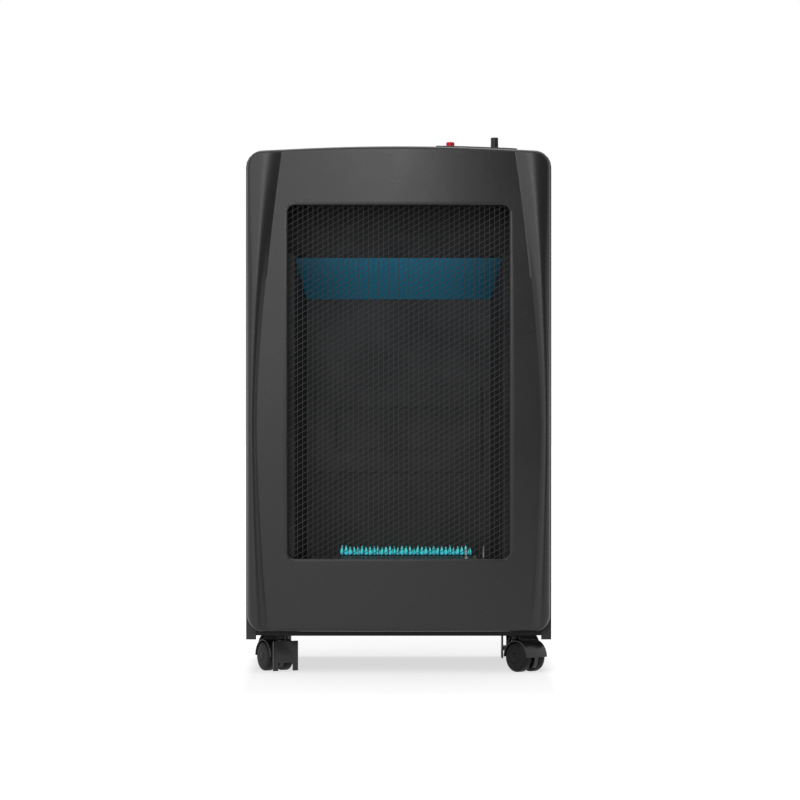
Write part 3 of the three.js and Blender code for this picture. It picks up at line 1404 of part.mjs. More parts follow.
function addBurner() {
  piece("burner_tube", burnerTube(), STEEL_BRIGHT);
  piece("burner_saddle_left", burnerSaddle(SADDLE_INSET - BURNER_HALF), STEEL_GREY);
  piece("burner_saddle_right", burnerSaddle(PILOT_X - 3 * PILOT_SPACING), STEEL_GREY);
  piece("gas_injector", gasInjector(), BRASS);
  piece("pilot_burner", pilotBurner(), STEEL_BRIGHT);
  piece("thermocouple", thermocouple(), STEEL_BRIGHT);
  piece("spark_electrode", sparkElectrode(), CERAMIC);
  piece("supply_pipe", supplyPipe(), COPPER);
  piece("pilot_pipe", pilotPipe(), COPPER);
  piece("thermocouple_lead", thermocoupleLead(), COPPER);
  piece("spark_lead", sparkLead(), SILICONE);
}

function addControls() {
  piece("control_plate", controlPlate(), PLASTIC_BLACK);
  piece("control_bracket", controlBracket(), STEEL_GREY);
  piece("gas_knob", gasKnob(), PLASTIC_BLACK);
  piece("valve_spindle", valveSpindle(), STEEL_BRIGHT);
  piece("gas_valve", gasValve(), BRASS);
  piece("valve_nut", neckNut(KNOB_X), BRASS);
  piece("inlet_nozzle", inletNozzle(), BRASS);
  piece("piezo_igniter", piezoIgniter(), PLASTIC_BLACK);
  piece("piezo_nut", neckNut(BUTTON_X), PLASTIC_BLACK);
  piece("igniter_button", igniterButton(), PLASTIC_RED);
}

function addCasters() {
  addCaster("front_left", -CASTER_X, -CASTER_Y, FRONT_LEFT_TRAIL, true);
  addCaster("front_right", CASTER_X, -CASTER_Y, FRONT_RIGHT_TRAIL, false);
  addCaster("rear_left", -CASTER_X, CASTER_Y, REAR_LEFT_TRAIL, false);
  addCaster("rear_right", CASTER_X, CASTER_Y, REAR_RIGHT_TRAIL, true);
}

addCabinet();
addChamber();
addBurner();
addControls();
addCasters();

export default heater;
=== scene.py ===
"""The looks of a portable gas cabinet heater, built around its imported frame.

Sizes are in millimetres, which the bench turns into metres. +Z is up, the front faces -Y, the floor is z = 0.
"""

import logging
import math
from collections.abc import Callable, Iterable, Iterator, Sequence
from contextlib import contextmanager
from dataclasses import dataclass
from enum import Enum
from typing import Self

import bmesh
import bpy
from mathutils import Matrix, Vector

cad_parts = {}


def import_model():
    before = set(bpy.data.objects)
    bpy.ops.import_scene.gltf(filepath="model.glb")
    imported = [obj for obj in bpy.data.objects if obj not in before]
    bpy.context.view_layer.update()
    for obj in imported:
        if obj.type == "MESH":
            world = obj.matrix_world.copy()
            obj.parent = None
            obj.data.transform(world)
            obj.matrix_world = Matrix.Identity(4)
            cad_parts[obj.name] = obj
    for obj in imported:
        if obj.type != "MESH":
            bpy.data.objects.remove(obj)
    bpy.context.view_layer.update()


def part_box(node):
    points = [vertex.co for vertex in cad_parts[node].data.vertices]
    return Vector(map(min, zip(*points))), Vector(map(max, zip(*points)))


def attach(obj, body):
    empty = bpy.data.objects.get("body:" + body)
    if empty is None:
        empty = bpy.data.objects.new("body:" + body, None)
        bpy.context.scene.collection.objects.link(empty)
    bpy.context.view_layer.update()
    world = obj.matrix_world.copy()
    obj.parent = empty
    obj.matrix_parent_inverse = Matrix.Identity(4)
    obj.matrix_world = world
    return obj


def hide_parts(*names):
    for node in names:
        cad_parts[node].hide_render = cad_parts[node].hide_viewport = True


log = logging.getLogger("heater")

MM = 0.001
CABINET_BODY = "cabinet"
RING_TAG = 100.0  # how far in Y a drawn ring is set off, to tell it from the face
SLACK = 0.001  # share of a length by which a stored number may miss
WELD = 0.01  # millimetres within which points become one
FLAT_ANGLE = 0.5  # degrees under which a CAD edge is no edge

Point = tuple[float, float, float]
Colour = tuple[float, float, float]
Profile = Sequence[tuple[float, float]]
Test = Callable[[Vector, Vector], bool]
Socket = str | int
Settings = dict[str, object] | None
Inputs = dict[Socket, object] | None


class Axis(Enum):
    """A main direction of the heater."""

    X = (1.0, 0.0, 0.0)
    Y = (0.0, 1.0, 0.0)
    Z = (0.0, 0.0, 1.0)

    @property
    def vector(self) -> Vector:
        """The axis as a vector."""
        return Vector(self.value)


# ---- The bench: meshes made with Blender's own tools ----


def clear_bench() -> None:
    """Leaves edit mode and deselects every object."""
    if bpy.context.mode != "OBJECT":
        bpy.ops.object.mode_set(mode="OBJECT")
    bpy.ops.object.select_all(action="DESELECT")


class Workpiece:
    """One mesh in the making: started from a primitive, shaped in edit mode, finished with modifiers."""

    def __init__(self, name: str, made: bpy.types.Object) -> None:
        """Takes over an object and puts its place, turn and scale into its mesh.

        Args:
            name: Name of the finished piece.
            made: The object, as its primitive left it.
        """
        self.object = made
        self.object.name = name
        self.object.data.name = name
        self.hold()
        bpy.ops.object.transform_apply(location=True, rotation=True, scale=True)

    def hold(self, *others: Self) -> None:
        """Selects this piece and others, with this one active.

        Args:
            *others: The other pieces.
        """
        clear_bench()
        for piece in (*others, self):
            piece.object.select_set(True)
        bpy.context.view_layer.objects.active = self.object

    # -- starting a piece --

    @classmethod
    def block(cls, name: str, low: Sequence[float], high: Sequence[float]) -> Self:
        """Starts a piece as a block.

        Args:
            name: Name of the piece.
            low: Its lowest corner, in millimetres.
            high: Its highest corner.

        Returns:
            The workpiece.
        """
        clear_bench()
        corners = Vector(low) * MM, Vector(high) * MM
        bpy.ops.mesh.primitive_cube_add(size=1, location=(corners[0] + corners[1]) / 2)
        bpy.context.object.scale = corners[1] - corners[0]
        return cls(name, bpy.context.object)

    @classmethod
    def rod(cls, name: str, radius: float, ends: Sequence[Point], sides: int, tube: bool = False) -> Self:
        """Starts a piece as a round rod between two points.

        Args:
            name: Name of the piece.
            radius: Radius in millimetres.
            ends: Middles of its two ends.
            sides: Number of sides.
            tube: Whether the ends stay open.

        Returns:
            The workpiece.
        """
        clear_bench()
        start, end = (Vector(point) * MM for point in ends)
        bpy.ops.mesh.primitive_cylinder_add(
            vertices=sides,
            radius=radius * MM,
            depth=(end - start).length,
            end_fill_type="NOTHING" if tube else "NGON",
            location=(start + end) / 2,
            rotation=Axis.Z.vector.rotation_difference(end - start).to_euler(),
        )
        return cls(name, bpy.context.object)

    @classmethod
    def turned(cls, name: str, profile: Profile, axis: Axis, at: Point = (0, 0, 0), steps: int = 64) -> Self:
        """Turns a piece from a profile, as on a lathe.

        Args:
            name: Name of the piece.
            profile: Pairs of radius and place along the axis, in millimetres.
            axis: The axis it turns about.
            at: A point on that axis.
            steps: Steps of the full turn.

        Returns:
            The workpiece, closed and with its faces outwards.
        """
        side = Axis.X.vector if axis is not Axis.X else Axis.Z.vector
        origin = Vector(at) * MM
        stops = [origin + side * radius * MM + axis.vector * along * MM for radius, along in profile]
        clear_bench()
        bpy.ops.mesh.primitive_plane_add(size=MM, location=stops[0])
        piece = cls(name, bpy.context.object)
        with piece.bench("VERT"):
            bpy.ops.mesh.merge(type="CENTER")
            for here, there in zip(stops, stops[1:]):
                bpy.ops.mesh.extrude_vertices_move(TRANSFORM_OT_translate={"value": there - here})
            bpy.ops.mesh.select_all(action="SELECT")
            bpy.ops.mesh.spin(steps=steps, angle=math.tau, center=origin, axis=axis.vector)
            bpy.ops.mesh.select_all(action="SELECT")
            bpy.ops.mesh.remove_doubles(threshold=WELD * MM)
            bpy.ops.mesh.normals_make_consistent(inside=False)
        return piece

    @classmethod
    def grid(cls, name: str, columns: int, rows: int) -> Self:
        """Starts a piece as a flat grid of faces, one metre square.

        Args:
            name: Name of the piece.
            columns: Its faces along X.
            rows: Its faces along Y.

        Returns:
            The workpiece.
        """
        clear_bench()
        bpy.ops.mesh.primitive_grid_add(x_subdivisions=columns, y_subdivisions=rows, size=1)
        return cls(name, bpy.context.object)

    @classmethod
    def from_node(cls, node: str) -> Self:
        """Starts a piece as a merged copy of a CAD node, which itself is left alone.

        Args:
            node: The CAD node.

        Returns:
            The workpiece.
        """
        copy = bpy.data.objects.new(node + "_fine", bpy.data.objects[node].data.copy())
        bpy.context.scene.collection.objects.link(copy)
        copy.data.materials.clear()
        piece = cls(node + "_fine", copy)
        with piece.bench("VERT"):
            bpy.ops.mesh.remove_doubles(threshold=WELD * MM)
            bpy.ops.mesh.dissolve_limited(angle_limit=math.radians(FLAT_ANGLE))
        return piece

    # -- shaping it --

    @contextmanager
    def bench(self, mode: str) -> Iterator[Self]:
        """Opens the piece in edit mode with everything selected.

        Args:
            mode: VERT, EDGE or FACE.

        Yields:
            The workpiece.
        """
        self.hold()
        bpy.ops.object.mode_set(mode="EDIT")
        bpy.ops.mesh.select_mode(type=mode)
        bpy.ops.mesh.select_all(action="SELECT")
        try:
            yield self
        finally:
            bpy.ops.object.mode_set(mode="OBJECT")

    def pick(self, test: Test, boundary: bool = False) -> None:
        """Selects only the faces or edges that pass a test, in edit mode.

        Args:
            test: Takes an element's middle in millimetres, and a face's normal or an edge's direction.
            boundary: Whether only edges of an open rim count.
        """
        bpy.ops.mesh.select_all(action="DESELECT")
        mesh = bmesh.from_edit_mesh(self.object.data)
        if "FACE" in mesh.select_mode:
            for face in mesh.faces:
                if test(face.calc_center_median() / MM, face.normal):
                    face.select_set(True)
        else:
            for edge in mesh.edges:
                start, end = (vertex.co for vertex in edge.verts)
                counts = edge.is_boundary or not boundary
                if counts and test((start + end) / 2 / MM, (end - start).normalized()):
                    edge.select_set(True)
        mesh.select_flush_mode()
        bmesh.update_edit_mesh(self.object.data)

    def move_points(self, rule: Callable[[Vector], Vector]) -> Self:
        """Moves every vertex.

        Args:
            rule: Gives a vertex's new place from its old one, in millimetres.

        Returns:
            The workpiece.
        """
        for vertex in self.object.data.vertices:
            vertex.co = rule(vertex.co / MM) * MM
        self.object.data.update()
        return self

    def modify(self, kind: str, **settings: object) -> Self:
        """Adds a modifier and applies it.

        Args:
            kind: Blender's name of the modifier.
            **settings: Its settings.

        Returns:
            The workpiece.
        """
        self.hold()
        modifier = self.object.modifiers.new(kind.lower(), kind)
        for key, value in settings.items():
            setattr(modifier, key, value)
        bpy.ops.object.modifier_apply(modifier=modifier.name)
        return self

    def bevel(self, width: float, segments: int = 2, angle: float = 40) -> Self:
        """Rounds edges.

        Args:
            width: Width of the rounding in millimetres.
            segments: Its steps.
            angle: Degrees that an edge has to be sharper than.

        Returns:
            The workpiece.
        """
        limit = {"limit_method": "ANGLE", "angle_limit": math.radians(angle)}
        return self.modify("BEVEL", width=width * MM, segments=segments, harden_normals=False, **limit)

    def repeat(self, count: int, step: Point) -> Self:
        """Repeats the piece in a row.

        Args:
            count: How many there are then.
            step: From one to the next, in millimetres.

        Returns:
            The workpiece.
        """
        settings = {"count": count, "use_relative_offset": False, "use_constant_offset": True}
        return self.modify("ARRAY", constant_offset_displace=[part * MM for part in step], **settings)

    def flatten(self) -> Self:
        """Shades large faces flat up to their rounded edges."""
        return self.modify("WEIGHTED_NORMAL", mode="FACE_AREA", weight=100, keep_sharp=True)

    def _boolean(self, operation: str, others: Iterable[Self]) -> Self:
        """Runs one boolean for each other piece, which is used up.

        Args:
            operation: Blender's name of the operation.
            others: The other pieces.

        Returns:
            The workpiece.
        """
        for other in others:
            self.modify("BOOLEAN", operation=operation, object=other.object, solver="EXACT")
            bpy.data.objects.remove(other.object)
        return self

    def cut(self, *others: Self) -> Self:
        """Takes other pieces out of this one."""
        return self._boolean("DIFFERENCE", others)

    def unite(self, *others: Self) -> Self:
        """Makes one closed body of this piece and others."""
        return self._boolean("UNION", others)

    def gather(self, *others: Self) -> Self:
        """Joins other pieces to this one as they are.

        Args:
            *others: The other pieces.

        Returns:
            The workpiece.
        """
        self.hold(*others)
        bpy.ops.object.join()
        return self

    def copy(self, name: str, by: Point) -> Self:
        """Copies the piece with its own mesh.

        Args:
            name: Name of the copy.
            by: How far it lies from this piece, in millimetres.

        Returns:
            The copy.
        """
        self.hold()
        bpy.ops.object.duplicate()
        return type(self)(name, bpy.context.object).shift(by)

    def turn(self, degrees: float, axis: Axis) -> Self:
        """Turns the piece about a main axis."""
        self.object.data.transform(Matrix.Rotation(math.radians(degrees), 4, axis.vector))
        return self

    def shift(self, by: Point) -> Self:
        """Moves the piece by some millimetres."""
        self.object.data.transform(Matrix.Translation(Vector(by) * MM))
        return self

    def halve(self, point: Point, normal: Point, fill: bool = True) -> Self:
        """Cuts the piece at a plane and keeps what lies behind it.

        Args:
            point: A point of the plane.
            normal: The plane's normal, towards what goes.
            fill: Whether the cut is closed.

        Returns:
            The workpiece.
        """
        plane = {"plane_co": Vector(point) * MM, "plane_no": Vector(normal)}
        with self.bench("FACE"):
            bpy.ops.mesh.bisect(use_fill=fill, clear_outer=True, threshold=1e-7, **plane)
        return self

    def smooth(self, degrees: float = 35) -> Self:
        """Shades faces smooth across the flatter edges.

        Args:
            degrees: Angle up to which an edge is flat enough.

        Returns:
            The workpiece.
        """
        self.hold()
        bpy.ops.object.shade_smooth_by_angle(angle=math.radians(degrees))
        return self

    def finish(self, surface: "Finish", body: str, *nodes: str) -> None:
        """Dresses the piece, sets it on its body and lets it stand for CAD nodes.

        Args:
            surface: Its finish.
            body: The body that it moves with.
            *nodes: The CAD nodes that it stands for.
        """
        self.object.data.materials.clear()
        self.object.data.materials.append(surface.material())
        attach(self.object, body)
        if nodes:
            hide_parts(*nodes)
        log.info("%s: %d faces on %s", self.object.name, len(self.object.data.polygons), body)


# ---- Shader maths ----


class Wire:
    """A shader's number socket that takes part in sums."""

    def __init__(self, graph: "Graph", socket: bpy.types.NodeSocket) -> None:
        """Wraps a socket.

        Args:
            graph: The graph that the socket is part of.
            socket: The socket.
        """
        self.graph = graph
        self.socket = socket

    def _math(self, operation: str, *values: "Wire | float") -> "Wire":
        """Adds a Math node on some values."""
        return self.graph.node("ShaderNodeMath", {"operation": operation}, dict(enumerate(values)))

    def __add__(self, other: "Wire | float") -> "Wire":
        """Sum."""
        return self._math("ADD", self, other)

    __radd__ = __add__

    def __mul__(self, other: "Wire | float") -> "Wire":
        """Product."""
        return self._math("MULTIPLY", self, other)

    __rmul__ = __mul__

    def __sub__(self, other: "Wire | float") -> "Wire":
        """Difference."""
        return self._math("SUBTRACT", self, other)

    def __rsub__(self, other: "Wire | float") -> "Wire":
        """Difference from a number."""
        return self._math("SUBTRACT", other, self)

    def __truediv__(self, other: "Wire | float") -> "Wire":
        """Quotient."""
        return self._math("DIVIDE", self, other)

    def __pow__(self, other: "Wire | float") -> "Wire":
        """Power."""
        return self._math("POWER", self, other)

    def size(self) -> "Wire":
        """The number without its sign."""
        return self._math("ABSOLUTE", self)

    def held(self, low: float, high: float) -> "Wire":
        """Zero at one limit and one at the other, and held outside them."""
        inputs = {"Value": self, "From Min": low, "From Max": high}
        return self.graph.node("ShaderNodeMapRange", {"clamp": True}, inputs)


Paint = Wire | Colour


class Graph:
    """The node graph of one material."""

    def __init__(self, name: str) -> None:
        """Starts an empty material.

        Args:
            name: Its name.
        """
        self.made = bpy.data.materials.new(name)
        self.made.use_nodes = True
        self.tree = self.made.node_tree
        self.tree.nodes.clear()

    def node(self, kind: str, settings: Settings = None, inputs: Inputs = None, output: Socket = 0) -> Wire:
        """Adds a node.

        Args:
            kind: The node's type.
            settings: Its own settings, set first. A ramp's stops are pairs of place and colour.
            inputs: Values or wires for its sockets, by name or number.
            output: The socket to hand on.

        Returns:
            That output as a wire.
        """
        return Wire(self, self.add(kind, settings, inputs).outputs[output])

    def add(self, kind: str, settings: Settings = None, inputs: Inputs = None) -> bpy.types.Node:
        """Adds a node with its settings, values and links.

        Args:
            kind: The node's type.
            settings: Its own settings, as in node().
            inputs: Values or wires for its sockets.

        Returns:
            The node.
        """
        made = self.tree.nodes.new(kind)
        for key, value in (settings or {}).items():
            if key == "stops":
                self._set_stops(made.color_ramp, value)
            else:
                setattr(made, key, value)
        for key, value in (inputs or {}).items():
            if isinstance(value, Wire):
                self.tree.links.new(value.socket, made.inputs[key])
            else:
                made.inputs[key].default_value = value
        return made

    @staticmethod
    def _set_stops(ramp: bpy.types.ColorRamp, stops: Sequence[tuple[float, Colour]]) -> None:
        """Gives a ramp its stops.

        Args:
            ramp: The ramp.
            stops: Pairs of place and colour.
        """
        while len(ramp.elements) < len(stops):
            ramp.elements.new(1.0)
        for element, (place, colour) in zip(ramp.elements, stops):
            element.position = place
            element.color = (*colour, 1.0)

    def place(self, stretch: Point = (1, 1, 1)) -> Wire:
        """Object coordinates, stretched for a pattern."""
        inputs = {"Vector": self.node("ShaderNodeTexCoord", output="Object"), "Scale": stretch}
        return self.node("ShaderNodeMapping", {"vector_type": "TEXTURE"}, inputs)

    def along(self, axis: Axis) -> Wire:
        """The place along one axis, in millimetres."""
        place = self.node("ShaderNodeTexCoord", output="Object")
        return self.node("ShaderNodeSeparateXYZ", inputs={0: place}, output=axis.name) * (1 / MM)

    def noise(self, size: float, detail: float = 2, stretch: Point = (1, 1, 1), rough: float = 0.5) -> Wire:
        """Cloudy noise whose lumps are some millimetres wide."""
        inputs = {"Scale": 1 / (size * MM), "Detail": detail, "Roughness": rough}
        return self.node("ShaderNodeTexNoise", inputs={"Vector": self.place(stretch), **inputs})

    def cells(self, size: float) -> Wire:
        """A pattern of coloured cells that are some millimetres wide."""
        inputs = {"Vector": self.place(), "Scale": 1 / (size * MM)}
        return self.node("ShaderNodeTexVoronoi", inputs=inputs, output="Color")

    def mix(self, share: Wire | float, first: Paint, second: Paint, kind: str = "MIX") -> Wire:
        """Mixes two colours.

        Args:
            share: Share of the second one.
            first: A colour.
            second: Another colour.
            kind: Blender's name of the way they mix.

        Returns:
            The mixed colour.
        """
        inputs = {0: share}
        for socket, value in ((6, first), (7, second)):
            inputs[socket] = value if isinstance(value, Wire) else (*value, 1.0)
        return self.node("ShaderNodeMix", {"data_type": "RGBA", "blend_type": kind}, inputs, output=2)

    def shade(self, colour: Paint, factor: Wire) -> Wire:
        """A colour made lighter or darker by a number."""
        grey = self.node("ShaderNodeCombineColor", inputs={0: factor, 1: factor, 2: factor})
        return self.mix(1.0, colour, grey, "MULTIPLY")

    def bump(self, height: Wire, depth: float) -> Wire:
        """A bump as deep as some millimetres."""
        inputs = {"Strength": 1.0, "Distance": depth * MM, "Height": height}
        return self.node("ShaderNodeBump", inputs=inputs)

    def close(self, inputs: Inputs) -> bpy.types.Material:
        """Ends the graph in a surface shader.

        Args:
            inputs: Values or wires for the shader's sockets.

        Returns:
            The finished material.
        """
        surface = self.node("ShaderNodeBsdfPrincipled", inputs=inputs)
        self.add("ShaderNodeOutputMaterial", inputs={"Surface": surface})
        return self.made


# ---- Finishes ----

_materials: dict[str, bpy.types.Material] = {}


@dataclass(frozen=True)
class Finish:
    """A finish of one of the heater's surfaces."""

    name: str
    slot: str
    colour: Colour
    roughness: float = 0.5

    def material(self) -> bpy.types.Material:
        """Makes the finish's material the first time that it is asked for.

        Returns:
            The material.
        """
        if self.name not in _materials:
            graph = Graph(self.name)
            _materials[self.name] = graph.close(self.sockets(graph))
        return _materials[self.name]

    def sockets(self, graph: Graph) -> Inputs:
        """Gives the surface shader's sockets their values, in each kind of finish's own way."""
        raise NotImplementedError


@dataclass(frozen=True)
class StoveEnamel(Finish):
    """Sprayed and baked enamel on steel: satin, with a fine orange peel and faint clouds."""

    peel: float = 1.6
    peel_depth: float = 0.02
    fleck: float = 0.05
    sheen: float = 0.4

    def sockets(self, graph: Graph) -> Inputs:
        """Clouds and flecks in the colour, orange peel in the normal.

        Args:
            graph: The material's graph.

        Returns:
            Values and wires for the surface shader.
        """
        clouds = graph.noise(160, 3)
        fleck = graph.noise(0.7, 1)
        tone = 1 + 0.07 * (clouds - 0.5) + self.fleck * (fleck - 0.5)
        peel = graph.noise(self.peel, 2)
        return {
            "Base Color": graph.shade(self.colour, tone),
            "Roughness": self.roughness + 0.1 * (graph.noise(45, 4) - 0.5),
            "Specular IOR Level": self.sheen,
            "Coat Weight": 0.04,
            "Coat Roughness": 0.3,
            "Normal": graph.bump(peel, self.peel_depth),
        }


@dataclass(frozen=True)
class RolledSheet(Finish):
    """Bare or plated steel sheet with rolling lines and a mottled plating."""

    metallic: float = 0.9
    spangle: float = 14
    lines: Point = (40, 1, 1)

    def sockets(self, graph: Graph) -> Inputs:
        """Spangles and lines in colour and roughness.

        Args:
            graph: The material's graph.

        Returns:
            Values and wires for the surface shader.
        """
        spangle = graph.node("ShaderNodeSeparateColor", inputs={0: graph.cells(self.spangle)})
        lines = graph.noise(0.8, 2, self.lines)
        tone = 0.86 + 0.16 * spangle + 0.1 * (lines - 0.5)
        return {
            "Base Color": graph.shade(self.colour, tone),
            "Metallic": self.metallic,
            "Roughness": self.roughness + 0.12 * (spangle - 0.5) + 0.1 * (lines - 0.5),
            "Normal": graph.bump(lines, 0.01),
        }


@dataclass(frozen=True)
class TurnedMetal(Finish):
    """A machined or drawn fitting, slightly stained."""

    stain: Colour = (0.2, 0.12, 0.06)
    stained: float = 0.25

    def sockets(self, graph: Graph) -> Inputs:
        """Stains in the hollows of a noise, over bright metal.

        Args:
            graph: The material's graph.

        Returns:
            Values and wires for the surface shader.
        """
        stain = graph.noise(7, 4).held(0.5, 0.75) * self.stained
        return {
            "Base Color": graph.mix(stain, self.colour, self.stain),
            "Metallic": 0.95,
            "Roughness": self.roughness + 0.25 * stain + 0.1 * (graph.noise(1.2, 2) - 0.5),
            "Normal": graph.bump(graph.noise(0.6, 2), 0.008),
        }


@dataclass(frozen=True)
class MouldedPlastic(Finish):
    """Injection-moulded plastic with an etched grain."""

    grain: float = 0.9
    grain_depth: float = 0.03
    gloss_coat: float = 0.0
    sheen: float = 0.5

    def sockets(self, graph: Graph) -> Inputs:
        """Etched grain in the normal, light rubbing in the roughness.

        Args:
            graph: The material's graph.

        Returns:
            Values and wires for the surface shader.
        """
        grain = graph.noise(self.grain, 1, rough=0.35)
        rub = graph.noise(18, 4).held(0.45, 0.8)
        return {
            "Base Color": graph.shade(self.colour, 0.94 + 0.12 * rub),
            "Roughness": self.roughness - 0.12 * rub + 0.06 * (grain - 0.5),
            "Specular IOR Level": self.sheen,
            "Coat Weight": self.gloss_coat,
            "Coat Roughness": 0.12,
            "Normal": graph.bump(grain, self.grain_depth),
        }


@dataclass(frozen=True)
class HeatedEnamel(Finish):
    """Heat-proof grey enamel in the burner chamber, dulled and a little browned near the flames."""

    scorch: Colour = (0.05, 0.035, 0.028)
    scorched: float = 0.35
    flame_height: float = 165
    scorch_reach: float = 190

    def sockets(self, graph: Graph) -> Inputs:
        """Scorch above the burner, soot clouds, a matt peel.

        Args:
            graph: The material's graph.

        Returns:
            Values and wires for the surface shader.
        """
        height = graph.along(Axis.Z)
        near = 1 - height.held(self.flame_height, self.flame_height + self.scorch_reach)
        soot = graph.noise(70, 5).held(0.42, 0.8)
        base = graph.mix(near * self.scorched, self.colour, self.scorch)
        return {
            "Base Color": graph.shade(base, 1 - 0.3 * soot),
            "Roughness": self.roughness + 0.15 * soot,
            "Specular IOR Level": 0.35,
            "Normal": graph.bump(graph.noise(2.2, 3), 0.03),
        }


@dataclass(frozen=True)
class BluedSteel(Finish):
    """Steel of the hood over the flames: a painted reflection of their blue light, paler in the middle, and a
    painted glow.
    """

    # edge: the painted reflection's blue at the hood's ends; glow: the painted flame glow in its middle
    edge: Colour = (0.004, 0.022, 0.035)
    glow: Colour = (0.004, 0.05, 0.082)
    end_glow: float = 0.35
    half_width: float = 140

    def sockets(self, graph: Graph) -> Inputs:
        """A painted reflection of the flames, a blue that falls off towards both ends, and a painted faint
        glow of the flames.

        Args:
            graph: The material's graph.

        Returns:
            Values and wires for the surface shader.
        """
        # painted reflection of the flames: brightest blue in the middle, darker towards both ends, and the
        # painted glow falls off the same way
        fall = (graph.along(Axis.X).size() / self.half_width) ** 2.2
        clouds = graph.noise(26, 4, (1, 1, 3))
        shade = fall.held(0, 1) + 0.18 * (clouds - 0.5)
        colour = graph.mix(shade, self.colour, self.edge)
        glow = graph.mix(shade, self.glow, tuple(part * self.end_glow for part in self.glow))
        return {
            "Base Color": colour,
            "Metallic": 0.55,
            "Roughness": self.roughness + 0.12 * clouds,
            "Emission Color": glow,
            "Emission Strength": 1.0,
            "Normal": graph.bump(clouds, 0.05),
        }


@dataclass(frozen=True)
class FlameGlow(Finish):
    """A small gas flame: pale blue-green, clearer at its tip."""

    foot: float = 160
    tip: float = 175

    def sockets(self, graph: Graph) -> Inputs:
        """Glow and clearness by height.

        Args:
            graph: The material's graph.

        Returns:
            Values and wires for the surface shader.
        """
        height = graph.along(Axis.Z).held(self.foot, self.tip)
        stops = [(0.0, (0.03, 0.34, 0.5)), (0.35, (0.05, 0.58, 0.6))]
        stops += [(0.8, (0.1, 0.66, 0.66)), (1.0, (0.04, 0.4, 0.5))]
        glow = graph.node("ShaderNodeValToRGB", {"stops": stops}, {0: height})
        return {
            "Base Color": (*self.colour, 1.0),
            "Roughness": 1.0,
            "Emission Color": glow,
            "Emission Strength": 1.0,
            "Alpha": 0.92 - 0.45 * height,
        }


CHARCOAL = StoveEnamel("charcoal_enamel", "charcoal_enamel", (0.025, 0.0253, 0.0263), 0.28)
CHARCOAL_TOP = StoveEnamel("charcoal_top", "charcoal_enamel", (0.028, 0.0283, 0.0293), 0.42, peel=1.2)
CHARCOAL_GRAINED = StoveEnamel(
    "charcoal_grained", "charcoal_enamel", (0.027, 0.0273, 0.0283), 0.52, 1.1, peel_depth=0.09, fleck=0.3
)
BLACK_ENAMEL = StoveEnamel("black_enamel", "black_enamel", (0.012, 0.012, 0.013), 0.55, sheen=0.25)
GUARD_ENAMEL = StoveEnamel("guard_enamel", "black_enamel", (0.04, 0.041, 0.043), 0.42)
CHAMBER_GREY = HeatedEnamel("chamber_grey", "heat_dulled_steel", (0.03, 0.031, 0.033), 0.62)
# a darker copy of the chamber enamel for the side cheeks: painted shade of the dark inside of the chamber
CHAMBER_SHADED = HeatedEnamel("chamber_dark", "heat_dulled_steel", (0.02, 0.02, 0.022), 0.7)
# the hood's blue is a painted reflection of the flames, and its emission a painted flame glow
FLAME_REFLECTION_STEEL = BluedSteel("blued_steel", "blued_steel", (0.006, 0.1, 0.17), 0.42)
ZINC = RolledSheet("zinc_sheet", "zinc_sheet", (0.42, 0.43, 0.44), 0.42)
# a near-black copy of the zinc sheet for the parts inside the cabinet: painted shade of the dark inside
SHADED_ZINC = RolledSheet("sooted_zinc", "zinc_sheet", (0.022, 0.022, 0.024), 0.62, metallic=0.3)
STAINLESS = TurnedMetal("burner_steel", "burner_steel", (0.2, 0.19, 0.18), 0.4, (0.08, 0.05, 0.06), 0.4)
BRASS = TurnedMetal("brass_fitting", "brass_fitting", (0.6, 0.43, 0.17), 0.3)
COPPER = TurnedMetal("copper_pipe", "copper_pipe", (0.62, 0.27, 0.14), 0.32)
BRIGHT_STEEL = TurnedMetal("caster_steel", "caster_steel", (0.55, 0.56, 0.58), 0.3, (0.3, 0.28, 0.2))
# a near-black copy of the caster steel for the stems: painted shade of the dark recess under the tray
SHADED_STEM_STEEL = TurnedMetal("caster_stem", "caster_steel", (0.03, 0.03, 0.032), 0.5, (0.02, 0.018, 0.016))
PORCELAIN = MouldedPlastic("white_ceramic", "white_ceramic", (0.78, 0.76, 0.7), 0.35, 2.5, 0.01)
LEAD_SLEEVE = MouldedPlastic("igniter_wire", "igniter_wire", (0.25, 0.03, 0.02), 0.45)
BLACK_PLASTIC = MouldedPlastic("black_plastic", "black_plastic", (0.012, 0.012, 0.013), 0.48)
KNOB_PLASTIC = MouldedPlastic(
    "knob_plastic", "black_plastic", (0.01, 0.0105, 0.012), 0.4, 0.7, grain_depth=0.015, sheen=0.35
)
RED_PLASTIC = MouldedPlastic("red_plastic", "red_plastic", (0.8, 0.014, 0.024), 0.34, 0.8, 0.01, sheen=0.25)
NYLON = MouldedPlastic("caster_plastic", "caster_plastic", (0.012, 0.012, 0.013), 0.36, 1.4, 0.02, 0.05)
TREAD = MouldedPlastic("caster_tread", "caster_tread", (0.005, 0.005, 0.006), 0.55, 0.8, 0.05, sheen=0.22)
MARK_WHITE = MouldedPlastic("mark_white", "white_ceramic", (0.7, 0.7, 0.68), 0.5, 1.5, 0.01)
FLAME = FlameGlow("flame_glow", "", (0.0, 0.02, 0.03))


# ---- Front fascia ----


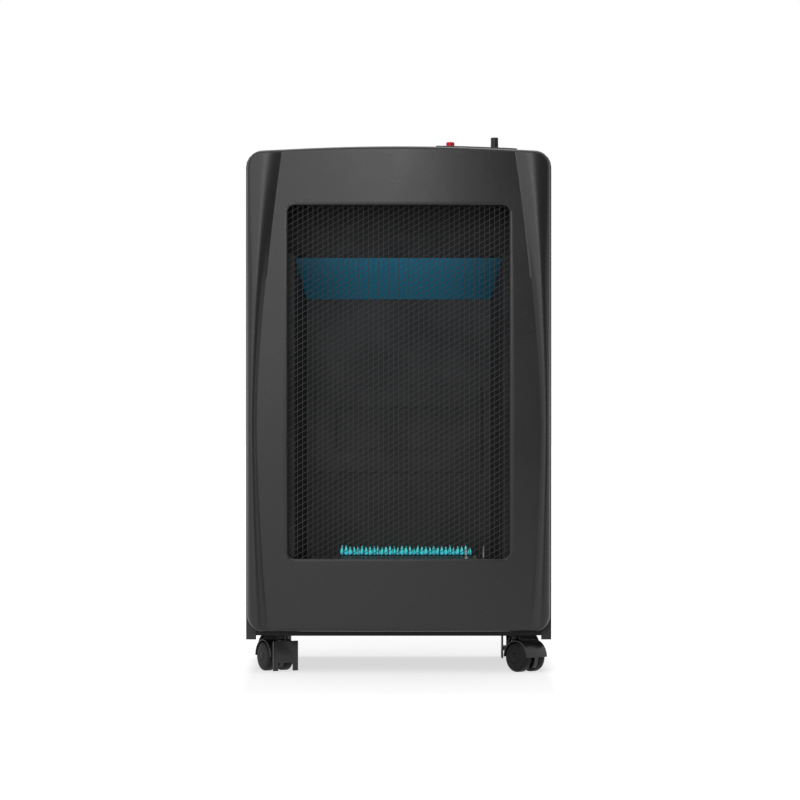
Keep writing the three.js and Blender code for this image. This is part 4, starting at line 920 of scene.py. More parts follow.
@dataclass
class FrontFascia:
    """The pressed front: a panel bowed both ways between two round pillars, with a window in it."""

    half: float = 208
    foot: float = 56.3
    top: float = 722
    crown_drop: float = 5.6
    front: float = -200
    back: float = -170
    wall: float = 1.6
    top_radius: float = 20
    foot_radius: float = 23
    edge_radius: float = 4.5
    upright_bow: float = 7
    cross_bow: float = 7
    pillar_rise: float = 8.2
    pillar_slope: float = 0.33
    rise_loss: float = 0.6
    loss_start: float = 340
    loss_reach: float = 380
    widest_crease: float = 194.7
    crease_height: float = 340
    top_lean: float = 36
    foot_lean: float = 15.2
    crease_power: float = 1.6
    window_half: float = 154.1
    window_foot: float = 154.6
    window_top: float = 643.0
    window_radius: float = 11.7
    window_back: float = -184.5
    window_slack: float = 0.4
    lip_radius: float = 1.7
    lip_steps: int = 4
    pitch: float = 3.5
    corner_cells: int = 6
    passes: int = 4
    ring_margin: float = 5
    flank_shares: tuple[float, ...] = (0.14, 0.3, 0.48, 0.66, 0.82, 0.93, 1.0)
    pillar_shares: tuple[float, ...] = (0.04, 0.09, 0.16, 0.25, 0.35, 0.46, 0.57, 0.68, 0.79, 0.9)
    edge_steps: tuple[float, ...] = (4.5, 3.5, 2.6, 1.8, 1.1, 0.6, 0.25, 0.0)

    def crown(self, x: float) -> float:
        """Height of the crowned top edge at a place across."""
        return self.top - self.crown_drop * (x / (self.half - self.top_radius)) ** 2

    def crease(self, z: float) -> float:
        """Tells where the crease between panel and pillar lies.

        Args:
            z: A height.

        Returns:
            Its distance from the middle at that height.
        """
        above = z > self.crease_height
        lean = self.top_lean if above else self.foot_lean
        reach = self.top - self.crease_height if above else self.crease_height - self.foot
        share = min(1.0, abs(z - self.crease_height) / reach)
        return self.widest_crease - lean * share**self.crease_power

    def inside_edge(self, x: float, z: float) -> float:
        """Tells how far inside the outline a point lies.

        Args:
            x: Its place across.
            z: Its height.

        Returns:
            The distance, below zero outside.
        """
        from_side = self.half - abs(x)
        from_foot = z - self.foot
        from_top = self.crown(x) - z
        radius = self.top_radius if from_top < from_foot else self.foot_radius
        from_end = min(from_foot, from_top)
        if from_side < radius and from_end < radius:
            return radius - math.hypot(radius - from_side, radius - from_end)
        return min(from_side, from_end)

    def face(self, x: float, z: float) -> float:
        """Tells where the face lies in Y.

        Args:
            x: A place across.
            z: A height.

        Returns:
            The face's Y there.
        """
        middle = (self.top + self.foot) / 2
        upright = self.upright_bow * ((z - middle) / (self.top - middle)) ** 2
        bend = self.crease(z)
        width = self.half - bend
        if abs(x) <= bend:
            relief = self.cross_bow * (abs(x) / bend) ** 2
        else:
            past = min(1.0, (abs(x) - bend) / width)
            loss = self.rise_loss * max(0.0, z - self.loss_start) / self.loss_reach
            rise = min(self.pillar_rise, self.pillar_slope * width) * (1 - loss)
            relief = self.cross_bow - rise * math.sin(math.pi * past)
        inside = min(self.edge_radius, max(0.0, self.inside_edge(x, z)))
        rounding = self.edge_radius - math.sqrt(self.edge_radius**2 - (self.edge_radius - inside) ** 2)
        return self.front + upright + relief + rounding

    def _spread(self, start: float, end: float) -> list[float]:
        """Even places from a start to an end, without the start."""
        count = max(1, round(abs(end - start) / self.pitch))
        return [start + (end - start) * i / count for i in range(1, count + 1)]

    def _corner_places(self) -> list[float]:
        """Places from the window's edge inwards over its corner's cells, without the edge."""
        return [self.window_radius * i / self.corner_cells for i in range(1, self.corner_cells + 1)]

    def columns(self) -> list[Callable[[float], float]]:
        """Lays out the grid's columns.

        Returns:
            Their places across from left to right, each as a rule on the height.
        """
        inner, edge = self.window_half - self.window_radius, self.half - self.edge_radius
        right: list[Callable[[float], float]] = [lambda z, x=x: x for x in self._spread(0, inner)]
        right += [lambda z, x=self.window_half - d: x for d in reversed([0.0, *self._corner_places()[:-1]])]
        for share in self.flank_shares:
            right.append(lambda z, s=share: self.window_half + (self.crease(z) - self.window_half) * s)
        for share in self.pillar_shares:
            right.append(lambda z, s=share: self.crease(z) + (edge - self.crease(z)) * s)
        right += [lambda z, d=d: self.half - d for d in self.edge_steps]
        left = [lambda z, rule=rule: -rule(z) for rule in reversed(right)]
        return [*left, lambda z: 0.0, *right]

    def rows(self) -> list[Callable[[float], float]]:
        """Lays out the grid's rows.

        Returns:
            Their heights from the foot to the top, each as a rule on the place across.
        """
        heights = [self.foot + d for d in reversed(self.edge_steps)]
        heights += self._spread(self.foot + self.edge_radius, self.window_foot)
        heights += [self.window_foot + d for d in self._corner_places()]
        heights += self._spread(heights[-1], self.window_top - self.window_radius)
        heights += [self.window_top - d for d in reversed([0.0, *self._corner_places()[:-1]])]
        rules: list[Callable[[float], float]] = [lambda x, z=z: z for z in heights]
        flat_top = self.top - self.edge_radius
        for height in self._spread(self.window_top, flat_top):
            share = (height - self.window_top) / (flat_top - self.window_top)
            rules.append(
                lambda x, s=share: self.window_top + (self.crown(x) - self.edge_radius - self.window_top) * s
            )
        rules += [lambda x, d=d: self.crown(x) - d for d in self.edge_steps[1:]]
        return rules

    def _round_outside(self, x: float, z: float) -> tuple[float, float]:
        """Draws a point near an outer corner in to the corner's round.

        Args:
            x: Its place across.
            z: Its height.

        Returns:
            Its new place and height.
        """
        for radius, from_end, up in (
            (self.top_radius, self.crown(x) - z, True),
            (self.foot_radius, z - self.foot, False),
        ):
            u = (abs(x) - (self.half - radius)) / radius
            v = (radius - from_end) / radius
            if u <= 0 or v <= 0:
                continue
            out_u = u * math.sqrt(1 - v * v / 2)
            out_v = v * math.sqrt(1 - u * u / 2)
            new_x = math.copysign(self.half - radius + radius * out_u, x)
            end = radius - radius * out_v
            return new_x, self.crown(new_x) - end if up else self.foot + end
        return x, z

    def _round_window(self, x: float, z: float) -> tuple[float, float]:
        """Moves a point of a square window corner so that the cells fill the corner's round.

        Args:
            x: Its place across.
            z: Its height.

        Returns:
            Its new place and height, or the old ones away from the corners.
        """

        def on_round(degrees: float) -> Vector:
            """A point of the corner's round, in radii from the corner."""
            return Vector((1 + math.cos(math.radians(degrees)), 1 + math.sin(math.radians(degrees))))

        radius = self.window_radius
        s = (self.window_half - abs(x)) / radius
        low = (z - self.window_foot) / radius
        high = (self.window_top - z) / radius
        t = min(low, high)
        if not (-SLACK <= s <= 1 + SLACK and -SLACK <= t <= 1 + SLACK):
            return x, z
        s, t = max(0.0, min(1.0, s)), max(0.0, min(1.0, t))
        right, upper, middle = on_round(270 - 45 * t), on_round(180 + 45 * s), on_round(225)
        blend = (1 - t) * Vector((s, 0)) + t * upper + (1 - s) * Vector((0, t)) + s * right
        blend -= s * (1 - t) * Vector((1, 0)) + (1 - s) * t * Vector((0, 1)) + s * t * middle
        new_x = math.copysign(self.window_half - radius * blend.x, x)
        new_z = self.window_foot + radius * blend.y if low <= high else self.window_top - radius * blend.y
        return new_x, new_z

    def _in_window(self, middle: Vector) -> bool:
        """Tells window from panel.

        Args:
            middle: Middle of a face of the grid, while it lies flat.

        Returns:
            Whether the face is in the window and not in one of its corners.
        """
        from_side = self.window_half - abs(middle.x)
        from_end = min(middle.y - self.window_foot, self.window_top - middle.y)
        if from_side < 0 or from_end < 0:
            return False
        return from_side > self.window_radius or from_end > self.window_radius

    def _on_window_edge(self, place: Vector) -> bool:
        """Whether a point lies on the window's edge or on its rim."""
        inside_z = self.window_foot - self.window_slack < place.z < self.window_top + self.window_slack
        return inside_z and abs(place.x) < self.window_half + self.window_slack

    def build(self) -> None:
        """Makes the shell from one grid: window cut out, skirts drawn back, wall given its thickness."""
        columns, rows = self.columns(), self.rows()
        across, upward = len(columns) - 1, len(rows) - 1
        piece = Workpiece.grid("front_fascia_pressing", across, upward)

        def lay_flat(place: Vector) -> Vector:
            """Puts a point of the even grid at its column and row, with its height kept in Y.

            Args:
                place: The point.

            Returns:
                Its new place.
            """
            i = round((place.x * MM + 0.5) * across)
            j = round((place.y * MM + 0.5) * upward)
            x, z = 0.0, rows[j](0.0)
            for _ in range(self.passes):
                x = columns[i](z)
                z = rows[j](x)
            return Vector((x, z, 0))

        def stand_up(place: Vector) -> Vector:
            """Draws a point into the round corners and sets it upright on the face."""
            x, z = self._round_outside(*self._round_window(place.x, place.y))
            return Vector((x, self.face(x, z), z))

        piece.move_points(lay_flat)
        with piece.bench("FACE"):
            piece.pick(lambda middle, normal: self._in_window(middle))
            bpy.ops.mesh.delete(type="FACE")
        piece.move_points(stand_up)
        with piece.bench("EDGE"):
            piece.pick(lambda middle, way: not self._on_window_edge(middle), boundary=True)
            bpy.ops.mesh.extrude_edges_move(TRANSFORM_OT_translate={"value": (0, -RING_TAG * MM, 0)})
            piece.pick(lambda middle, way: self._on_window_edge(middle), boundary=True)
            for _ in range(self.lip_steps + 1):
                bpy.ops.mesh.extrude_edges_move(TRANSFORM_OT_translate={"value": (0, RING_TAG * MM, 0)})
        piece.move_points(self._draw_back)
        with piece.bench("FACE"):
            bpy.ops.mesh.normals_make_consistent(inside=False)
        if piece.object.data.polygons[0].normal.y > 0:
            piece.object.data.flip_normals()
        piece.modify("SOLIDIFY", thickness=self.wall * MM, offset=-1)
        piece.smooth(38).finish(CHARCOAL, CABINET_BODY, "front_fascia")

    def _draw_back(self, place: Vector) -> Vector:
        """Puts a point of a drawn ring on the lip's round, the rim or the skirt.

        Args:
            place: The point. How far it was drawn in Y tells its ring.

        Returns:
            Its new place.
        """
        ring = math.floor((place.y - (self.front - self.ring_margin)) / RING_TAG)
        if ring < 0:
            place.y = self.back
        if ring <= 0:
            return place
        middle = (self.window_foot + self.window_top) / 2
        flat_half = self.window_half - self.window_radius
        flat_height = (self.window_top - self.window_foot) / 2 - self.window_radius
        past = max(0.0, abs(place.x) - flat_half), max(0.0, abs(place.z - middle) - flat_height)
        out = Vector(past).normalized()
        angle = math.pi / 2 * min(1.0, ring / self.lip_steps)
        inward = self.lip_radius * math.sin(angle)
        place.x -= math.copysign(out.x * inward, place.x)
        place.z -= math.copysign(out.y * inward, place.z - middle)
        if ring > self.lip_steps:
            place.y = self.window_back
        else:
            place.y += self.lip_radius * (1 - math.cos(angle)) - ring * RING_TAG
        return place


# ---- Guard ----


@dataclass
class WireGuard:
    """The guard: fine upright wires with slanted wires welded across them, in a thin frame."""

    half: float = 152.6
    foot: float = 156.1
    top: float = 641.5
    lap: float = 4.6
    frame_reach: float = 0.2
    wire_reach: float = 1
    slant_reach: float = 20
    upright_pitch: float = 6.93
    slant_pitch: float = 8.2
    slope: float = 0.56
    wire: float = 0.48
    wire_sides: int = 8
    upright_y: float = -183.15
    slant_y: float = -184.1
    frame_front: float = -184.2
    frame_back: float = -182.8

    def _frame(self) -> Workpiece:
        """Makes the flat frame, mostly behind the fascia's rim.

        Returns:
            The frame.
        """
        low = (-self.half - self.lap, self.frame_front, self.foot - self.lap)
        high = (self.half + self.lap, self.frame_back, self.top + self.lap)
        piece = Workpiece.block("guard_net", low, high)
        with piece.bench("FACE"):
            piece.pick(lambda middle, normal: abs(normal.y) > 0.9)
            bpy.ops.mesh.inset(thickness=(self.lap + self.frame_reach) * MM, use_individual=True)
            bpy.ops.mesh.bridge_edge_loops()
        return piece

    def _uprights(self) -> Workpiece:
        """Makes one upright wire, repeated over the window.

        Returns:
            The wires.
        """
        count = math.floor(2 * (self.half + self.wire_reach) / self.upright_pitch) + 1
        first = -(count - 1) / 2 * self.upright_pitch
        low, high = self.foot - self.wire_reach, self.top + self.wire_reach
        ends = ((first, self.upright_y, low), (first, self.upright_y, high))
        wire = Workpiece.rod("uprights", self.wire, ends, self.wire_sides)
        return wire.repeat(count, (self.upright_pitch, 0, 0))

    def _slants(self) -> Workpiece:
        """Makes one slanted wire, repeated upwards and cut off at the window's edges.

        Returns:
            The wires.
        """
        half, reach = self.half + self.wire_reach, self.half + self.slant_reach
        foot = self.foot - self.slope * 2 * reach
        count = math.ceil((self.top - foot) / self.slant_pitch)
        ends = ((-reach, self.slant_y, foot), (reach, self.slant_y, foot + self.slope * 2 * reach))
        wire = Workpiece.rod("slants", self.wire, ends, self.wire_sides)
        wire.repeat(count, (0, 0, self.slant_pitch))
        for point, normal in (
            ((half, 0, 0), (1, 0, 0)),
            ((-half, 0, 0), (-1, 0, 0)),
            ((0, 0, self.top + self.wire_reach), (0, 0, 1)),
            ((0, 0, self.foot - self.wire_reach), (0, 0, -1)),
        ):
            wire.halve(point, normal)
        return wire

    def build(self) -> None:
        """Makes frame and wires one piece."""
        net = self._frame().gather(self._uprights(), self._slants())
        net.smooth(50).finish(GUARD_ENAMEL, CABINET_BODY, "guard_mesh")


# ---- Burner chamber, burner and flames ----


@dataclass
class Chamber:
    """The sheets round the flames: back plate, sides, hood with a painted flame reflection, shelf, shield and
    partition.
    """

    def build(self) -> None:
        """Rounds the pressed sheets' edges and gives each its finish, some with painted shade or painted
        flame light.
        """
        for node, surface, width, segments, sharp in (
            ("chamber_back_plate", CHAMBER_GREY, 0.9, 3, 50),
            # the sides get the darker copy of the chamber enamel as painted shade
            ("chamber_side_left", CHAMBER_SHADED, 0.4, 2, 20),
            ("chamber_side_right", CHAMBER_SHADED, 0.4, 2, 20),
            # the hood's finish paints the flames' reflection in its colour and their glow in its emission
            ("hood_deflector", FLAME_REFLECTION_STEEL, 0.35, 2, 30),
            # shelf, shield and partition get the near-black zinc as painted shade
            ("chamber_shelf", SHADED_ZINC, 0.3, 2, 40),
            ("top_heat_shield", SHADED_ZINC, 0.3, 2, 40),
            ("bottle_partition", SHADED_ZINC, 0.3, 2, 40),
        ):
            piece = Workpiece.from_node(node).bevel(width, segments, sharp)
            piece.smooth(30).finish(surface, CABINET_BODY, node)


@dataclass
class Burner:
    """The burner tube with its slots, the row of small flames, and the pilot's parts."""

    y: float = -152
    height: float = 147
    radius: float = 12
    half: float = 124
    neck_radius: float = 8
    neck_length: float = 26
    neck_wall: float = 1.2
    slot_inset: float = 8
    slot_width: float = 1.6
    slot_half: float = 4.5
    slot_top: float = 170
    slots_short: float = 24
    flame_left: float = -78
    flame_right: float = 98
    flame_pitch: float = 5.5
    flame_height: float = 14
    flame_radius: float = 2.5
    flame_lift: float = 1.5
    flame_middle_size: float = 0.86
    flame_size_swing: float = 0.14

    def _tube(self) -> None:
        """A drawn tube, closed at one end and necked at the other, with a slotted strip on top."""
        low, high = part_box("burner_tube")
        left, right = low.x / MM, high.x / MM
        shoulder = right - self.neck_length
        radius, neck = self.radius, self.neck_radius
        profile = [
            (0, left), (radius - 3, left), (radius - 0.9, left + 0.9), (radius, left + 3),
            (radius, shoulder - 8), (radius - 1, shoulder - 5), (neck + 1, shoulder - 1.5),
            (neck, shoulder), (neck, right - 0.4), (neck - 0.4, right), (neck - self.neck_wall, right),
            (neck - self.neck_wall, shoulder), (0, shoulder - 4),
        ]
        tube = Workpiece.turned("burner_tube_drawn", profile, Axis.X, (0, self.y, self.height), 48)
        first = self.slot_inset - self.half
        low_corner = (first, self.y - self.slot_half, self.height + 8)
        high_corner = (first + self.slot_width, self.y + self.slot_half, self.slot_top)
        count = math.floor((2 * self.half - self.slots_short) / self.flame_pitch)
        slots = Workpiece.block("slots", low_corner, high_corner).repeat(count, (self.flame_pitch, 0, 0))
        tube.cut(slots).smooth(35).finish(STAINLESS, CABINET_BODY, "burner_tube")

    def _flames(self) -> None:
        """One teardrop flame, repeated along the burner with small changes of height."""
        foot = self.height + self.radius + self.flame_lift
        radius = self.flame_radius
        profile = [
            (0, 0), (radius * 0.7, 0.4), (radius, 3), (radius * 0.85, 6), (radius * 0.5, 10),
            (radius * 0.16, 13), (0, self.flame_height),
        ]
        first = Workpiece.turned("burner_flames", profile, Axis.Z, (self.flame_left, self.y, foot), 12)
        count = round((self.flame_right - self.flame_left) / self.flame_pitch)
        copies = []
        for i in range(1, count + 1):
            size = self.flame_middle_size + self.flame_size_swing * math.sin(i * 2.4) * math.cos(i * 0.7)
            flame = first.copy(f"flame_{i}", (i * self.flame_pitch, 0, 0))
            flame.move_points(lambda p, size=size: Vector((p.x, p.y, foot + (p.z - foot) * size)))
            copies.append(flame)
        first.gather(*copies).smooth(60).finish(FLAME, CABINET_BODY)

    def build(self) -> None:
        """Makes tube and flames and dresses the pilot's parts."""
        self._tube()
        self._flames()
        for node, surface in (
            ("pilot_burner", STAINLESS),
            ("thermocouple", STAINLESS),
            ("spark_electrode", PORCELAIN),
            # the saddles get the near-black zinc as painted shade
            ("burner_saddle_left", SHADED_ZINC),
            ("burner_saddle_right", SHADED_ZINC),
            ("gas_injector", BRASS),
        ):
            Workpiece.from_node(node).bevel(0.25).smooth(35).finish(surface, CABINET_BODY, node)


# ---- Controls ----


@dataclass
class Controls:
    """The black plate on the top with its knob and red button, and the valve and igniter under it."""

    plate_thickness: float = 2.6
    knob_radius: float = 16.5
    knob_edge_step: float = 0.5
    grip_width: float = 10.2
    grip_length: float = 30
    grip_height: float = 14.2
    grip_root: float = 2
    grip_end_flat: float = 0.6
    grip_top_round: float = 1.1
    grip_waist: float = 0.1
    pointer_half: float = 0.55
    pointer_depth: float = 0.5
    pointer_inset: float = 1.6
    pointer_end: float = 3
    pointer_gap: float = 0.05
    collar_gap: float = 0.65
    collar_wall: float = 0.65
    collar_cover: float = 0.8
    collar_depth: float = 9
    button_radius: float = 5.75
    dots_radius: float = 20.4
    dot_angles: tuple[float, ...] = (-90, -45, 0, 45)
    first_dot: float = 0.7
    dot_growth: float = 0.25

    @staticmethod
    def _stand(node: str) -> tuple[float, float, float, float]:
        """Tells where a control stands.

        Args:
            node: Its CAD node.

        Returns:
            Its middle in X and in Y, its foot and its top, in millimetres.
        """
        low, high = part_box(node)
        return (low.x + high.x) / 2 / MM, (low.y + high.y) / 2 / MM, low.z / MM, high.z / MM

    def _knob(self) -> None:
        """A disc with a raised edge and a waisted bar across it, with a pointer line."""
        x, y, foot, top = self._stand("gas_knob")
        radius, disc_top = self.knob_radius, top - self.grip_height
        dish = disc_top - self.knob_edge_step
        profile = [
            (0, foot), (radius - 0.6, foot), (radius, foot + 0.6), (radius, disc_top - 1.4),
            (radius - 0.4, dish), (radius - 1.4, disc_top), (radius - 2.6, disc_top),
            (radius - 3.2, dish), (0, dish),
        ]
        knob = Workpiece.turned("gas_knob_moulding", profile, Axis.Z, (x, y, 0), 96)
        half, long = self.grip_width / 2, self.grip_length / 2
        low = (x - half, y - long, disc_top - self.grip_root)
        grip = Workpiece.block("grip", low, (x + half, y + long, top))
        with grip.bench("EDGE"):
            grip.pick(lambda middle, way: abs(way.z) > 0.9)
            bpy.ops.mesh.bevel(offset=(half - self.grip_end_flat) * MM, segments=6, affect="EDGES")
        with grip.bench("EDGE"):
            grip.pick(lambda middle, way: abs(way.z) < 0.1 and middle.z > top - 0.5)
            bpy.ops.mesh.bevel(offset=self.grip_top_round * MM, segments=3, affect="EDGES")

        def waist(place: Vector) -> Vector:
            """Draws a point of the grip in towards its middle plane.

            Args:
                place: The point.

            Returns:
                Its new place.
            """
            share = (place.z - disc_top) / self.grip_height
            narrow = 1 - self.grip_waist * math.sin(math.pi * max(0.0, min(1.0, share)))
            return Vector((x + (place.x - x) * narrow, place.y, place.z))

        knob.unite(grip.move_points(waist))
        start, end, gap = y - long + self.pointer_inset, y - self.pointer_end, self.pointer_gap
        wide, floor = self.pointer_half + gap, top - self.pointer_depth
        knob.cut(Workpiece.block("pointer_cut", (x - wide, start, floor), (x + wide, end, top + 1)))
        knob.smooth(32).finish(KNOB_PLASTIC, "knob", "gas_knob")
        low = (x - self.pointer_half, start + gap, floor - 0.02)
        line = Workpiece.block("knob_pointer", low, (x + self.pointer_half, end - gap, top - 0.1))
        line.bevel(0.1, 1).finish(MARK_WHITE, "knob")

    def _collar(self) -> None:
        """A sleeve under the plate round the knob's disc, so that no gap shows when the knob is pressed."""
        x, y, _, _ = self._stand("gas_knob")
        inner, top = self.knob_radius + self.collar_gap, FrontFascia().crown(x) + self.plate_thickness
        top -= self.collar_cover
        foot = top - self.collar_depth
        collar = Workpiece.rod("knob_collar", inner + self.collar_wall, ((x, y, foot), (x, y, top)), 96)
        collar.cut(Workpiece.rod("collar_bore", inner, ((x, y, foot - 1), (x, y, top + 1)), 96))
        collar.smooth(35).finish(BLACK_PLASTIC, CABINET_BODY)

    def _button(self) -> None:
        """The red button: a plunger with a slightly dished cap."""
        x, y, foot, top = self._stand("igniter_button")
        radius = self.button_radius
        profile = [
            (0, foot), (radius - 0.3, foot), (radius, foot + 0.3), (radius, top - 1.5),
            (radius - 0.25, top - 0.75), (radius - 0.8, top - 0.2), (radius - 1.6, top),
            (radius - 2.4, top - 0.15), (radius * 0.3, top - 0.5), (0, top - 0.55),
        ]
        cap = Workpiece.turned("igniter_button_cap", profile, Axis.Z, (x, y, 0), 48)
        cap.smooth(40).finish(RED_PLASTIC, "button", "igniter_button")

    def _marks(self) -> None:
        """Level dots in an arc round the knob, each larger than the last, raised a hair."""
        x, y, _, _ = self._stand("gas_knob")
        fascia = FrontFascia()
        dots = []
        for i, degrees in enumerate(self.dot_angles):
            angle = math.radians(degrees)
            dot_x, dot_y = x + self.dots_radius * math.cos(angle), y + self.dots_radius * math.sin(angle)
            size = self.first_dot + self.dot_growth * i
            profile = [(0, -0.3), (size, -0.3), (size, 0.05), (size - 0.15, 0.15), (0, 0.18)]
            at = (dot_x, dot_y, fascia.crown(dot_x) + self.plate_thickness)
            dots.append(Workpiece.turned("level_dots" if i == 0 else f"dot_{i}", profile, Axis.Z, at, 20))
        dots[0].gather(*dots[1:]).smooth(40).finish(MARK_WHITE, CABINET_BODY)

    def build(self) -> None:
        """Makes what is seen and dresses what is under the top."""
        plate = Workpiece.from_node("control_plate").bevel(1.0, 3, 35).smooth(35)
        plate.finish(BLACK_PLASTIC, CABINET_BODY, "control_plate")
        self._knob()
        self._collar()
        self._button()
        self._marks()
        for node, surface, body, rounded in (
            ("control_bracket", ZINC, CABINET_BODY, True),
            ("gas_valve", BRASS, CABINET_BODY, True),
            ("valve_nut", BRASS, CABINET_BODY, True),
            ("inlet_nozzle", BRASS, CABINET_BODY, True),
            ("piezo_igniter", BLACK_PLASTIC, CABINET_BODY, True),
            ("piezo_nut", BLACK_PLASTIC, CABINET_BODY, True),
            ("valve_spindle", BRIGHT_STEEL, "spindle", True),
            ("supply_pipe", COPPER, CABINET_BODY, False),
            ("pilot_pipe", COPPER, CABINET_BODY, False),
            ("thermocouple_lead", COPPER, CABINET_BODY, False),
            ("spark_lead", LEAD_SLEEVE, CABINET_BODY, False),
        ):
            piece = Workpiece.from_node(node)
            if rounded:
                piece.bevel(0.25, 2, 45)
            piece.smooth(45).finish(surface, body, node)


# ---- Casters ----


class Corner(Enum):
    """A corner of the heater: its caster's place, the heading of its wheels, and whether it has a brake."""

    FRONT_LEFT = (-162, -150, 119.0, True)
    FRONT_RIGHT = (162, -150, -47.0, False)
    REAR_LEFT = (-162, 150, 180.0, False)
    REAR_RIGHT = (162, 150, 0.0, True)

    @property
    def label(self) -> str:
        """The corner's name in the frame's names."""
        return self.name.lower()


@dataclass
class Caster:
    """One twin-wheel caster, modelled with its wheels trailing along +X and then turned to its heading."""

    corner: Corner
    wheel_radius: float = 20.5
    wheel_inner: float = 7.1
    wheel_width: float = 12.5
    trail: float = 18
    hood_radius: float = 23.3
    hood_wall: float = 2
    web_half: float = 3.5
    web_inset: float = 0.8
    web_foot: float = 6
    boss_half: float = 6.5
    boss_wall: float = 3
    hub_radius: float = 6.5
    hub_foot: float = 14
    hub_top: float = 43.8
    axle_radius: float = 2.5
    axle_gap: float = 0.3
    stem_bore: float = 4.3
    stem_depth: float = 20.3
    pin_x: float = -8.0
    pin_z: float = 35.8
    pin_bore: float = 1.7
    eye_radius: float = 2.6
    eye_half: float = 3.6
    neck_end: float = -5

    def _place(self, piece: Workpiece) -> Workpiece:
        """Turns a piece to the caster's heading and moves it to its corner."""
        x, y, heading, _ = self.corner.value
        return piece.turn(heading, Axis.Z).shift((x, y, 0))

    def _cross_rod(self, name: str, radius: float, half: float, sides: int, tube: bool = False) -> Workpiece:
        """Makes a rod round the wheels' axis, from side to side.

        Args:
            name: Name of the rod.
            radius: Its radius.
            half: Half its length.
            sides: Number of sides.
            tube: Whether its ends stay open.

        Returns:
            The rod.
        """
        ends = [(self.trail, side * half, self.wheel_radius) for side in (-1, 1)]
        return Workpiece.rod(name, radius, ends, sides, tube)

    def _hood(self) -> None:
        """The hood: an arched shell over both wheels, a web between them and a hub round the stem."""
        label = self.corner.label
        half = self.wheel_inner + self.wheel_width
        shell = self._cross_rod("shell", self.hood_radius, half, 64, tube=True)
        shell.halve((self.trail, 0, self.wheel_radius), (0, 0, -1), fill=False)
        shell.modify("SOLIDIFY", thickness=self.hood_wall * MM, offset=-1, use_even_offset=True)
        shell.bevel(0.75, 3, 50)
        web = self._cross_rod("web", self.hood_radius - self.web_inset, self.web_half, 64)
        web.halve((0, 0, self.web_foot), (0, 0, -1))
        boss = self._cross_rod("boss", self.axle_radius + self.boss_wall, self.boss_half, 32)
        profile = [
            (0, self.hub_foot), (self.hub_radius - 0.8, self.hub_foot),
            (self.hub_radius, self.hub_foot + 0.8), (self.hub_radius, self.hub_top - 1.0),
            (self.hub_radius - 1.0, self.hub_top), (0, self.hub_top),
        ]
        shell.unite(web, boss, Workpiece.turned("hub", profile, Axis.Z, steps=40))
        if self.corner.value[3]:
            self._pin_eye(shell)
        stem_ends = ((0, 0, self.hub_top - self.stem_depth), (0, 0, self.hub_top + 1))
        bore = Workpiece.rod("stem_bore", self.stem_bore, stem_ends, 32)
        shell.cut(bore, self._cross_rod("axle_bore", self.axle_radius + self.axle_gap, 30, 24))
        shell.object.name = f"caster_hood_{label}_shell"
        self._place(shell).smooth(35)
        shell.finish(NYLON, f"caster_{label}", f"caster_hood_{label}")

    def _pin_eye(self, shell: Workpiece) -> None:
        """Adds the eye that the brake pedal's pin sits in.

        Args:
            shell: The hood to add it to.
        """
        x, z, half = self.pin_x, self.pin_z, self.eye_half
        eye = Workpiece.rod("eye", self.eye_radius, ((x, -half, z), (x, half, z)), 24)
        low = (x, -half, z - self.eye_radius)
        neck = Workpiece.block("neck", low, (self.neck_end, half, z + self.eye_radius))
        shell.unite(eye, neck)
        shell.cut(Workpiece.rod("eye_bore", self.pin_bore, ((x, -9, z), (x, 9, z)), 20))

    def _wheel(self, letter: str, side: int) -> None:
        """A wheel: a tread with rounded shoulders, a recessed ring and a domed cap in its outer face.

        Args:
            letter: The wheel's letter in the frame's names.
            side: Its side of the caster, -1 or 1.
        """
        radius, width = self.wheel_radius, self.wheel_width
        bore = self.axle_radius + self.axle_gap
        profile = [
            (0, width - 3), (bore, width - 3), (bore, 0), (radius - 1.5, 0), (radius - 0.5, 0.4),
            (radius, 1.5), (radius, width - 3.2), (radius - 0.4, width - 2.0),
            (radius - 1.5, width - 0.9), (radius - 2.9, width - 0.3), (radius - 3.3, width - 0.5),
            (radius - 3.8, width - 0.5), (radius - 4.2, width - 0.1), (radius * 0.6, width + 0.35),
            (radius * 0.36, width + 0.8), (radius * 0.34, width + 0.65), (radius * 0.32, width + 0.65),
            (radius * 0.3, width + 0.9), (radius * 0.15, width + 1.15), (0, width + 1.2),
        ]
        placed = [(r, side * (self.wheel_inner + along)) for r, along in profile]
        name = f"{self.corner.label}_{letter}"
        middle = (self.trail, 0, self.wheel_radius)
        wheel = Workpiece.turned(f"caster_wheel_{name}_disc", placed, Axis.Y, middle, 64)
        self._place(wheel).smooth(32).finish(TREAD, f"wheel_{name}", f"caster_wheel_{name}")

    def build(self) -> None:
        """Makes hood and wheels and dresses the pins and the pedal."""
        label = self.corner.label
        self._hood()
        self._wheel("a", -1)
        self._wheel("b", 1)
        # the stems get the near-black caster steel as painted shade of the recess under the tray
        pins = [("caster_stem", SHADED_STEM_STEEL, CABINET_BODY, 0.3, 40)]
        pins.append(("caster_axle", BRIGHT_STEEL, f"caster_{label}", 0.3, 40))
        if self.corner.value[3]:
            pins.append(("brake_pedal", NYLON, f"pedal_{label}", 0.55, 35))
        for kind, surface, body, width, shade in pins:
            node = f"{kind}_{label}"
            Workpiece.from_node(node).bevel(width).smooth(shade).finish(surface, body, node)


# ---- Cabinet shell ----


